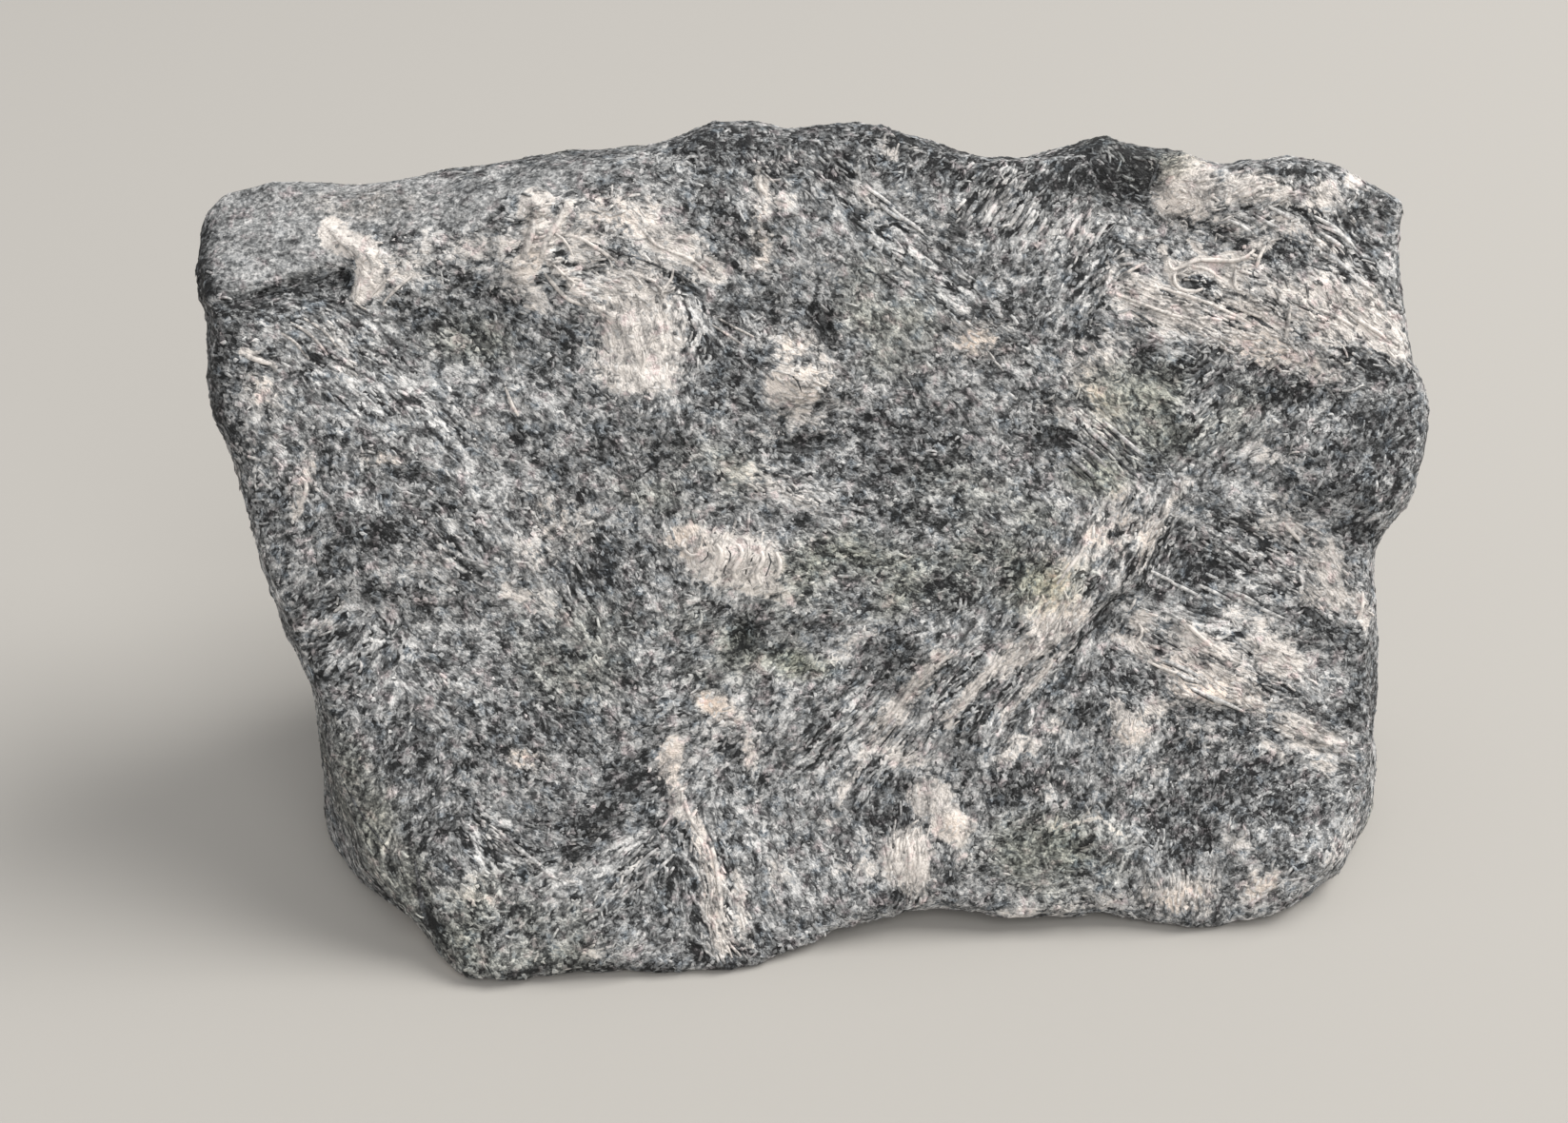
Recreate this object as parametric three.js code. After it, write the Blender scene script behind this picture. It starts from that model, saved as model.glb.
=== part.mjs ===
// A hand specimen of migmatite: one broken block of dark, fibrous gneiss with pale
// veins. It is a single piece of stone, so it is a single closed mesh.
//
// Millimetres, +Z up, broad face towards -Y, standing on its flat base at z = 0.
// The block is star-shaped about a point in its middle, so it is made by pushing
// the vertices of a ball outwards until they meet the surface of a solid that is
// described by planes, one outline, hand-placed lumps and hollows, and noise.
import * as THREE from "three";
import { ImprovedNoise } from "three/addons/math/ImprovedNoise.js";
import { mergeVertices } from "three/addons/utils/BufferGeometryUtils.js";

// ---- Driving dimensions ------------------------------------------------------

// The rough wedge that the block was broken to.
const LENGTH = 92; // left to right
const DEPTH = 47; // front to back, at the base
const HEIGHT = 56; // base to ridge
const BACK_LEAN = 0.17; // how far the back comes forward for each millimetre it rises

const FACE_LEAN = THREE.MathUtils.degToRad(26); // the broad face leans back
const FACE_TURN = THREE.MathUtils.degToRad(5.3); // and its right end lies further back
const FACE_FOOT = [-24.6, -16.6, 0]; // where the face meets the base, at its left toe

const EDGE_ROUNDING = 0.45; // how softly two faces run into each other
const RIM_ROUNDING = 0.75; // the same where the faces meet the outline
const FOOT_ROUNDING = 0.25; // the same around the base
const WALL_ALLOWANCE = 0.1; // what the rounding takes off the outline, put back

const BALL_DETAIL = 21; // 20 * (detail + 1)^2 triangles
const HEART = new THREE.Vector3(2, 13, 18); // the point that the block is star-shaped about

// The sides of the block spread gently away from a far point in front of it and
// above it. The outline is drawn on a sheet that faces that point, SHEET_REACH away.
const SHEET_TILT = THREE.MathUtils.degToRad(32);
const SHEET_REACH = 170.5;
const SHEET_CENTRE_HEIGHT = 26.65;

// ---- The outline of the broad face, in millimetres on the sheet -----------------

// Clockwise from the shoulder at the upper left, in stretches.
const OUTLINE = {
  leftShoulder: [[-43.9, 25], [-43, 26.9], [-40.4, 28.5], [-37.8, 28.9], [-34.5, 28.8]],
  lowTop: [[-30.5, 28.4], [-28, 28.7], [-25.4, 29.5], [-21, 30], [-15.5, 31], [-10, 31.2]],
  ridge: [[-7.4, 32.1], [-4.8, 33], [-2, 33], [1, 32.5], [4, 33.1], [6.8, 32.9], [10, 31.9]],
  saddle: [[13, 30.8], [15, 30.4], [18.4, 30.6]],
  rightPeak: [[21.4, 31.3], [24.5, 32], [26.5, 31.2], [30, 30.9], [32.8, 29.8]],
  rightShoulder: [[35.5, 30.5], [40, 30.2], [43, 29], [46.1, 27.2]],
  rightSide: [[46.3, 24], [46.5, 20], [46.9, 17], [47.6, 14]],
  bulge: [[48.4, 12.2], [48.2, 9.5], [47.5, 6.5], [46.5, 3.9], [44.9, 2.3]],
  rightWall: [[44.2, 0], [44.3, -5], [44.3, -11], [44.1, -16], [43.6, -19.9]],
  rightToe: [[42.4, -22.4], [40.2, -24.3], [37.4, -26.3], [34, -27.2], [31, -27.9], [28, -27.1]],
  arch: [[23, -26.2], [20, -27], [15, -26.5], [10, -26.4], [6.5, -27], [3.5, -27.8], [0, -29.6]],
  leftToe: [[-4, -30.7], [-10, -31.2], [-16, -31.4], [-21.5, -31.7], [-24.6, -31], [-26.2, -29]],
  sideFoot: [[-28.6, -26.6], [-31.6, -24.5], [-33.7, -21.6], [-34.4, -18]],
  leftWall: [[-34.6, -13], [-35.8, -8.6], [-37.6, -4.6], [-39.2, 0], [-40.6, 4.8]],
  leftSide: [[-41.7, 8.6], [-43.2, 12.8], [-43.5, 18], [-44.3, 21.6], [-44.3, 23.3]],
};

// ---- The faces of the block ---------------------------------------------------

// Each face is a plane through a point, with its outward normal. The broad face is
// added from its lean and turn, and the base is the plane z = 0.
const FACES = {
  topLeftSlope: { through: [-41.6, 4.8, 46.2], facing: [-0.1, -0.43, 0.9] },
  leftFoot: { through: [-26.4, -15.8, 0], facing: [-0.785, -0.594, -0.179] },
  leftBehind: { through: [-42, 6, 20], facing: [-0.84, 0.5, -0.2] },
  leftFlank: { through: [-45.5, 13, 44], facing: [-0.93, 0.34, 0.12] },
  rightFlank: { through: [49.2, 12, 25], facing: [0.96, 0.27, 0.03] },
  rightToeCorner: { through: [45.3, -5.2, 9.1], facing: [0.59, -0.78, -0.1] },
  backLeft: { through: [-22, 29, 10], facing: [-0.34, 0.92, 0.18] },
  backRight: { through: [16, 30.5, 10], facing: [0.16, 0.97, 0.16] },
  backCorner: { through: [44, 22, 30], facing: [0.62, 0.78, 0.1] },
  backTop: { through: [4, 17.6, 55.2], facing: [0.01, 0.62, 0.78] },
  backFoot: { through: [0, 30, 5], facing: [-0.05, 0.8, -0.6] },
};

// ---- Lumps and hollows of the broad face ---------------------------------------

// at, on the sheet; reach, half length and half width; turn, degrees from the
// horizontal; rise, outwards, and below zero for a hollow.
const LUMPS = {
  paleCurl: { at: [-32, 22], reach: [3, 1.2], turn: -62, rise: 0.9 },
  hollowByCurl: { at: [-33.4, 21], reach: [2.2, 1.5], turn: 20, rise: -1 },
  ledgeShadow: { at: [-38.4, 20.1], reach: [6, 1.3], turn: 14, rise: -0.9 },
  upperPatch: { at: [-11, 17.5], reach: [6.5, 3.4], turn: -60, rise: 0.5 },
  leftScoop: { at: [-27, 16], reach: [9, 4.5], turn: -10, rise: -0.8 },
  middleKnob: { at: [0.8, 14], reach: [3, 2.6], turn: 0, rise: 0.8 },
  ledgeUnderKnob: { at: [5.5, 9.8], reach: [5, 1.5], turn: 6, rise: -0.9 },
  centralPatch: { at: [-3.8, 0.2], reach: [4.6, 2], turn: -22, rise: 0.6 },
  slantRidge: { at: [22.5, -3], reach: [10, 2.2], turn: 52, rise: 0.9 },
  hollowByRidge: { at: [27, -5], reach: [6, 2.4], turn: 40, rise: -1 },
  rightPatch: { at: [33, -7], reach: [6, 3], turn: -28, rise: 0.6 },
  rightBulge: { at: [44, 9.5], reach: [5, 6], turn: 0, rise: 0.9 },
  darkRecess: { at: [25, 26], reach: [5.4, 2.8], turn: 8, rise: -0.9 },
  paleShoulder: { at: [36, 27.5], reach: [5.5, 2], turn: 0, rise: 0.6 },
  upperRightPatch: { at: [33.5, 20], reach: [8, 3.4], turn: -18, rise: 0.5 },
  middleValley: { at: [5, -18.5], reach: [7, 4.5], turn: 60, rise: -1 },
  leftToeSwell: { at: [-13, -28], reach: [12, 5.5], turn: 4, rise: 1.9 },
  rightToeSwell: { at: [35, -22], reach: [10, 5], turn: 8, rise: 1.5 },
  leftShelf: { at: [-30, 3], reach: [7, 5], turn: -50, rise: 0.5 },
};

// Hollows in the underside. What they leave of the base is the flat it rests on.
const UNDERSIDE_HOLLOWS = {
  betweenFrontToes: { centre: [11, -13, 0], radii: [11.5, 9, 1.3] },
  backLeft: { centre: [-31, 22, 0], radii: [12, 11, 2.4] },
  back: { centre: [5, 32, 0], radii: [19, 9, 2.2] },
  right: { centre: [47, 13, 0], radii: [10, 15, 2] },
};

// Uneven surface of the broken rock: wavelength and height of each layer. The
// noise is stretched along the grain of the rock, which falls to the right.
const RELIEF = [
  { wave: 15, height: 0.6 },
  { wave: 7.5, height: 0.42 },
  { wave: 4.4, height: 0.26 },
];
const GRAIN_DIP = THREE.MathUtils.degToRad(-38);
const GRAIN_STRETCH = 1.4;
const NOISE_TO_PEAK = 1.6; // the noise seldom passes +-0.6, so this brings it to +-1

const STONE = { color: 0x5f6467, roughness: 0.86, metalness: 0 };

// ---- Outline -------------------------------------------------------------------

const OUTLINE_STEPS = 260;

function outlineCurve() {
  const points = Object.values(OUTLINE).flat().map(([u, v]) => new THREE.Vector3(u, v, 0));
  return new THREE.CatmullRomCurve3(points, true, "centripetal").getPoints(OUTLINE_STEPS);
}

// Distance in the sheet from (u, v) to the outline, below zero inside it.
function outlineDistance(outline, u, v) {
  let nearest = Infinity;
  let inside = false;
  for (let i = 1; i < outline.length; i++) {
    const a = outline[i - 1];
    const b = outline[i];
    const [ex, ey] = [b.x - a.x, b.y - a.y];
    const along = ((u - a.x) * ex + (v - a.y) * ey) / (ex * ex + ey * ey);
    const t = THREE.MathUtils.clamp(along, 0, 1);
    nearest = Math.min(nearest, Math.hypot(u - a.x - t * ex, v - a.y - t * ey));
    if (a.y > v !== b.y > v && u < a.x + ((v - a.y) * ex) / ey) inside = !inside;
  }
  return inside ? -nearest : nearest;
}

// ---- The sheet -------------------------------------------------------------------

const outwards = new THREE.Vector3(0, -Math.cos(SHEET_TILT), Math.sin(SHEET_TILT));
const upSheet = new THREE.Vector3(0, Math.sin(SHEET_TILT), Math.cos(SHEET_TILT));
const sheetCentre = new THREE.Vector3(0, 0, SHEET_CENTRE_HEIGHT);
const farPoint = sheetCentre.clone().addScaledVector(outwards, SHEET_REACH);

// Where the line from the far point through a point of space meets the sheet, and
// how many times further away than the sheet the point is.
function onSheet(point) {
  const ray = point.clone().sub(farPoint);
  const times = -ray.dot(outwards) / SHEET_REACH;
  const met = ray.divideScalar(times).add(farPoint).sub(sheetCentre);
  return { u: met.x, v: met.dot(upSheet), times };
}

// ---- Surface ----------------------------------------------------------------------

function planeThrough({ through, facing }) {
  const normal = new THREE.Vector3(...facing).normalize();
  return new THREE.Plane().setFromNormalAndCoplanarPoint(normal, new THREE.Vector3(...through));
}

function broadFace() {
  const facing = [Math.tan(FACE_TURN), -1, Math.tan(FACE_LEAN)];
  return planeThrough({ through: FACE_FOOT, facing });
}

const noise = new ImprovedNoise();

// Height of the broken surface at a point, from layered noise that is drawn out
// along the grain.
function relief(point) {
  const along = point.x * Math.cos(GRAIN_DIP) + point.z * Math.sin(GRAIN_DIP);
  const across = -point.x * Math.sin(GRAIN_DIP) + point.z * Math.cos(GRAIN_DIP);
  let sum = 0;
  RELIEF.forEach(({ wave, height }, layer) => {
    const shift = 17.3 * (layer + 1); // each layer reads its own part of the noise
    const n = noise.noise(along / (wave * GRAIN_STRETCH) + shift, across / wave, point.y / wave);
    sum += n * NOISE_TO_PEAK * height;
  });
  return sum;
}

// Height added by the lumps and hollows. They belong to the broad face and fade
// out behind it.
function lumps({ u, v }, depthBehindFace) {
  const fade = 1 - THREE.MathUtils.smoothstep(depthBehindFace, 3, 9);
  if (fade === 0) return 0;
  let sum = 0;
  for (const { at, reach, turn, rise } of Object.values(LUMPS)) {
    const angle = THREE.MathUtils.degToRad(turn);
    const [du, dv] = [u - at[0], v - at[1]];
    const a = (du * Math.cos(angle) + dv * Math.sin(angle)) / reach[0];
    const b = (-du * Math.sin(angle) + dv * Math.cos(angle)) / reach[1];
    sum += rise * Math.exp(-(a * a + b * b));
  }
  return sum * fade;
}

// How far inside a hollow a point is, in millimetres, as near as the height tells.
function insideHollow(point, { centre, radii }) {
  const offset = point.toArray().map((value, i) => (value - centre[i]) / radii[i]);
  return (1 - Math.hypot(...offset)) * radii[2];
}

// The largest of some distances, eased where two of them are close to equal.
function softLargest(distances, rounding) {
  const sum = distances.reduce((total, d) => total + Math.exp(d / rounding), 0);
  return rounding * Math.log(sum);
}

// Below zero inside the stone, above zero outside it.
function makeStone() {
  const outline = outlineCurve();
  const face = broadFace();
  const planes = [face, ...Object.values(FACES).map(planeThrough)];
  return (point) => {
    const sheet = onSheet(point);
    const walls = outlineDistance(outline, sheet.u, sheet.v) * sheet.times;
    const distances = planes.map((plane) => plane.distanceToPoint(point));
    const unevenness = relief(point);
    const swelling = lumps(sheet, -face.distanceToPoint(point)) + unevenness;
    const broken = softLargest(distances, EDGE_ROUNDING) - swelling;
    // The walls are only hollowed, so the outline keeps its size.
    const wall = walls - WALL_ALLOWANCE - Math.min(0, unevenness);
    const block = softLargest([broken, wall], RIM_ROUNDING);
    const hollows = Object.values(UNDERSIDE_HOLLOWS).map((one) => insideHollow(point, one));
    return Math.max(softLargest([block, -point.z], FOOT_ROUNDING), ...hollows);
  };
}

// ---- Mesh ---------------------------------------------------------------------------

const SEARCH_STEPS = 24; // halvings of the search for the surface
const SEARCH_REACH = 2; // how far out it looks, as a share of the rough block
const BASE_FLATNESS = 0.04; // what lies lower than this is put on the base
const EVENING_PASSES = 3; // rounds that even out the triangles

// A point of a ball, carried onto a rough wedge of the block's size, so that the
// triangles come out of nearly one size all over the stone.
function onWedge(direction) {
  const largest = Math.max(...direction.toArray().map(Math.abs));
  const [x, y, z] = direction.toArray().map((c) => (4 / Math.PI) * Math.atan(c / largest));
  const height = ((z + 1) / 2) * HEIGHT;
  const front = -DEPTH / 3 + height * Math.tan(FACE_LEAN);
  const back = (DEPTH * 2) / 3 - height * BACK_LEAN;
  return new THREE.Vector3((x * LENGTH) / 2, THREE.MathUtils.lerp(front, back, (y + 1) / 2), height);
}

// The point where the way out from the heart leaves the stone. Where that is all
// but on the base it is put on the base, so that the stone has a true flat to rest on.
function surfacePoint(stone, roughPoint) {
  const probe = new THREE.Vector3();
  let [inside, outside] = [0, SEARCH_REACH];
  for (let i = 0; i < SEARCH_STEPS; i++) {
    const middle = (inside + outside) / 2;
    probe.lerpVectors(HEART, roughPoint, middle);
    if (stone(probe) < 0) inside = middle;
    else outside = middle;
  }
  if (probe.z < BASE_FLATNESS) probe.z = 0;
  return probe;
}

// For each vertex, the vertices it shares an edge with.
function neighbours(geometry) {
  const index = geometry.getIndex();
  const sets = Array.from({ length: geometry.getAttribute("position").count }, () => new Set());
  for (let i = 0; i < index.count; i++) {
    const next = i % 3 === 2 ? i - 2 : i + 1;
    sets[index.getX(i)].add(index.getX(next));
    sets[index.getX(next)].add(index.getX(i));
  }
  return sets;
}

function middleOf(points) {
  const sum = new THREE.Vector3();
  for (const point of points) sum.add(point);
  return sum.divideScalar(points.length);
}

function stoneGeometry() {
  const ball = new THREE.IcosahedronGeometry(1, BALL_DETAIL);
  ball.deleteAttribute("normal");
  ball.deleteAttribute("uv");
  const geometry = mergeVertices(ball, 1e-5);
  const stone = makeStone();
  const position = geometry.getAttribute("position");
  const around = neighbours(geometry);
  let points = around.map((_, i) => {
    const direction = new THREE.Vector3().fromBufferAttribute(position, i);
    return surfacePoint(stone, onWedge(direction));
  });
  for (let pass = 0; pass < EVENING_PASSES; pass++) {
    const moved = around.map((near) => middleOf([...near].map((j) => points[j])));
    points = moved.map((point) => surfacePoint(stone, point));
  }
  points.forEach((point, i) => position.setXYZ(i, point.x, point.y, point.z));
  // The frame's origin is the middle of the base.
  geometry.computeBoundingBox();
  const { min, max } = geometry.boundingBox;
  geometry.translate(-(min.x + max.x) / 2, -(min.y + max.y) / 2, -min.z);
  geometry.computeVertexNormals();
  return geometry;
}

// ---- The specimen --------------------------------------------------------------------

function makeRock() {
  const rock = new THREE.Mesh(stoneGeometry(), new THREE.MeshStandardMaterial(STONE));
  rock.name = "migmatite_rock";
  return rock;
}

const specimen = new THREE.Group();
specimen.add(makeRock());

export default specimen;
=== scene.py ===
"""Dresses the migmatite rock: fine relief, mineral patches, fibres and grains."""

import math

import bpy
import numpy as np
from mathutils.bvhtree import BVHTree
from mathutils.kdtree import KDTree
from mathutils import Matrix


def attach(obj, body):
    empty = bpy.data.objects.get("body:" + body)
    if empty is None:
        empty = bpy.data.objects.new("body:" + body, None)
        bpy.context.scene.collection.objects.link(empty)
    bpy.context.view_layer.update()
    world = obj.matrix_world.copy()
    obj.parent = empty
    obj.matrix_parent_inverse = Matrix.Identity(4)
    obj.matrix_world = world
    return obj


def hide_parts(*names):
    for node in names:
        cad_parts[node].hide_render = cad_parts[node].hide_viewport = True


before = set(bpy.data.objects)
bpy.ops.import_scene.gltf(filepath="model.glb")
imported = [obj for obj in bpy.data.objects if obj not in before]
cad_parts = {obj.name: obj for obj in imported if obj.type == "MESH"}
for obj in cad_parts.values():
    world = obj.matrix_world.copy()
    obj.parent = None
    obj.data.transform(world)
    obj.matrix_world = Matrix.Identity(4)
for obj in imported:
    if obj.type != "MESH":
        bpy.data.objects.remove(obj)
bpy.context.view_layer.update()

MM = 0.001
NODE = "migmatite_rock"
FACE_UP = math.radians(64)  # the broad face's slope above the floor
FLOOR_BAND = 0.02 * MM  # what lies lower than this rests on the floor

RIGHT = np.array([1.0, 0, 0])
UP_FACE = np.array([0, math.cos(FACE_UP), math.sin(FACE_UP)])
OUT_OF_FACE = np.array([0, -math.sin(FACE_UP), math.cos(FACE_UP)])


def add_object(name, data):
    item = bpy.data.objects.new(name, data)
    bpy.context.scene.collection.objects.link(item)
    return item


# ---- Camera ---------------------------------------------------------------------

IMAGE_WIDTH, IMAGE_HEIGHT = 1647, 1180  # pixels of the picture the view is framed for
FOCAL_PX = 2385.0
PITCH = math.radians(32)  # below the horizon
EYE = np.array([-2.975, -152.93, 117.0]) * MM
SENSOR_MM = 36.0
CLIP_START = 5 * MM

FORWARD = np.array([0, math.cos(PITCH), -math.sin(PITCH)])
UPWARD = np.array([0, math.sin(PITCH), math.cos(PITCH)])


def picture_place(points):
    """Pixel (x, y) of each point, from the camera above."""
    ray = points - EYE
    depth = ray @ FORWARD
    x = IMAGE_WIDTH / 2 + FOCAL_PX * ray[:, 0] / depth
    y = IMAGE_HEIGHT / 2 - FOCAL_PX * (ray @ UPWARD) / depth
    return x, y


def add_camera():
    data = bpy.data.cameras.new("camera")
    data.sensor_width = SENSOR_MM
    data.lens = SENSOR_MM * FOCAL_PX / IMAGE_WIDTH
    data.clip_start = CLIP_START
    camera = add_object("camera", data)
    camera.location = EYE
    camera.rotation_euler = (math.pi / 2 - PITCH, 0, 0)
    bpy.context.scene.camera = camera


# ---- Noise ----------------------------------------------------------------------

HASH = np.array([374761393, 668265263, 1440662683])  # large factors that scatter the cells
HASH_SEED, HASH_MIX, HASH_WORD = 987643, 1274126177, 0xFFFFFFFF
NOISE_GAIN = 1.7  # brings the sum to about -1 to 1


def noise(points, seed):
    """Smooth noise of wavelength 1, about -1 to 1, at each point."""
    cell = np.floor(points).astype(np.int64)
    t = points - cell
    ease = t * t * t * (t * (t * 6 - 15) + 10)
    total = np.zeros(len(points))
    for corner in np.ndindex(2, 2, 2):
        h = ((cell + corner) @ HASH + seed * HASH_SEED) & HASH_WORD
        h = ((h ^ (h >> 13)) * HASH_MIX) & HASH_WORD
        h ^= h >> 16
        turn = (h & 1023) * (2 * math.pi / 1024)
        z = ((h >> 10) & 1023) / 512 - 1
        flat = np.sqrt(1 - z * z)
        slope = np.stack([flat * np.cos(turn), flat * np.sin(turn), z], axis=1)
        weight = np.prod(np.where(corner, ease, 1 - ease), axis=1)
        total += weight * ((t - corner) * slope).sum(axis=1)
    return total * NOISE_GAIN


def noise3(points, seed):
    """A vector of three noises at each point."""
    return np.stack([noise(points, seed + k) for k in range(3)], axis=1)


def waves(points, *parts):
    """Sum of noises, each with its height, wavelength and seed."""
    return sum(height * noise(points / length, seed) for height, length, seed in parts)


def smoothstep(low, high, value):
    t = np.clip((value - low) / (high - low), 0, 1)
    return t * t * (3 - 2 * t)


# ---- Mesh -----------------------------------------------------------------------

SAME_PLACE = 1e-6  # metres within which two points count as one
SMOOTHING = (0.5, -0.52)  # shares of the way to the neighbours' mean, in and back out

# How a triangle with corners 0, 1, 2 and new points 3, 4, 5 on its edges is divided.
SPLITS = {
    1: [(0, 3, 2), (3, 1, 2)],
    2: [(3, 1, 4), (0, 3, 4), (0, 4, 2)],
    3: [(0, 3, 5), (3, 1, 4), (5, 4, 2), (3, 4, 5)],
}


def unit(vectors):
    return vectors / np.linalg.norm(vectors, axis=1, keepdims=True)


def triangles_of(mesh):
    """Points and triangles of a mesh, with points that coincide made one."""
    mesh.calc_loop_triangles()
    points = np.empty(len(mesh.vertices) * 3)
    mesh.vertices.foreach_get("co", points)
    faces = np.empty(len(mesh.loop_triangles) * 3, dtype=np.int32)
    mesh.loop_triangles.foreach_get("vertices", faces)
    points = points.reshape(-1, 3)
    keys = np.round(points / SAME_PLACE)
    _, first, same = np.unique(keys, axis=0, return_index=True, return_inverse=True)
    return points[first], same.reshape(-1)[faces].reshape(-1, 3)


def edges_of(faces):
    """The edges, once each, and for each face the numbers of its three edges."""
    pairs = np.stack([faces, np.roll(faces, -1, axis=1)], axis=2).reshape(-1, 2)
    edges, number = np.unique(np.sort(pairs, axis=1), axis=0, return_inverse=True)
    return edges, number.reshape(-1, 3)


def refine(points, faces):
    """Splits every edge that is longer than wanted there."""
    edges, of_face = edges_of(faces)
    ends = points[edges]
    middle = ends.mean(axis=1)
    long = np.linalg.norm(ends[:, 0] - ends[:, 1], axis=1) > wanted_length(middle)
    new = np.full(len(edges), -1)
    new[long] = len(points) + np.arange(long.sum())
    split = new[of_face]
    count = (split >= 0).sum(axis=1)
    # Turn each face so that its first edge is split, and its last is not if one isn't.
    one_split, one_whole = np.argmax(split >= 0, axis=1), np.argmin(split >= 0, axis=1)
    first = np.where(count == 1, one_split, (one_whole + 1) % 3)
    order = (first[:, None] + np.arange(3)) % 3
    corner = np.take_along_axis(faces, order, axis=1)
    split = np.take_along_axis(split, order, axis=1)
    parts = [corner[count == 0]]
    for n, pattern in SPLITS.items():
        both = np.concatenate([corner, split], axis=1)[count == n]
        parts += [both[:, list(triangle)] for triangle in pattern]
    return np.concatenate([points, middle[long]]), np.concatenate(parts)


def spread(edges, values):
    """Mean of each point's neighbours."""
    total = np.zeros_like(values)
    count = np.bincount(edges.reshape(-1), minlength=len(values))
    for k in range(values.shape[1]):
        for a, b in ((0, 1), (1, 0)):
            total[:, k] += np.bincount(edges[:, a], values[edges[:, b], k], len(values))
    return total / count[:, None]


def rounded(points, faces, rounds):
    """Takes the corners off the facets without shrinking the whole."""
    edges, _ = edges_of(faces)
    flat = points[:, 2] < FLOOR_BAND
    for share in SMOOTHING * rounds:
        points = points + share * (spread(edges, points) - points)
    points[flat, 2] = 0
    points[:, 2] = np.maximum(points[:, 2], 0)
    return points


def normals_of(points, faces):
    a, b, c = (points[faces[:, k]] for k in range(3))
    across = np.cross(b - a, c - a)
    total = np.zeros((len(points), 3))
    for k, axis in np.ndindex(3, 3):
        total[:, axis] += np.bincount(faces[:, k], across[:, axis], len(points))
    return unit(total)


def facing_eye(points, normals):
    """How squarely each point faces the camera, 1 at the most, below 0 if turned away."""
    return (normals * unit(EYE - points)).sum(axis=1)


def tree_of(points):
    """A search tree that finds the nearest of the points."""
    tree = KDTree(len(points))
    for number, place in enumerate(points):
        tree.insert(place, number)
    tree.balance()
    return tree


# ---- Listed features --------------------------------------------------------------

# Positions are pixels of the picture the view is framed for. A spot is x, y, half
# length, half width, turn in degrees (above zero rises to the right), strength in percent.

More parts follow.
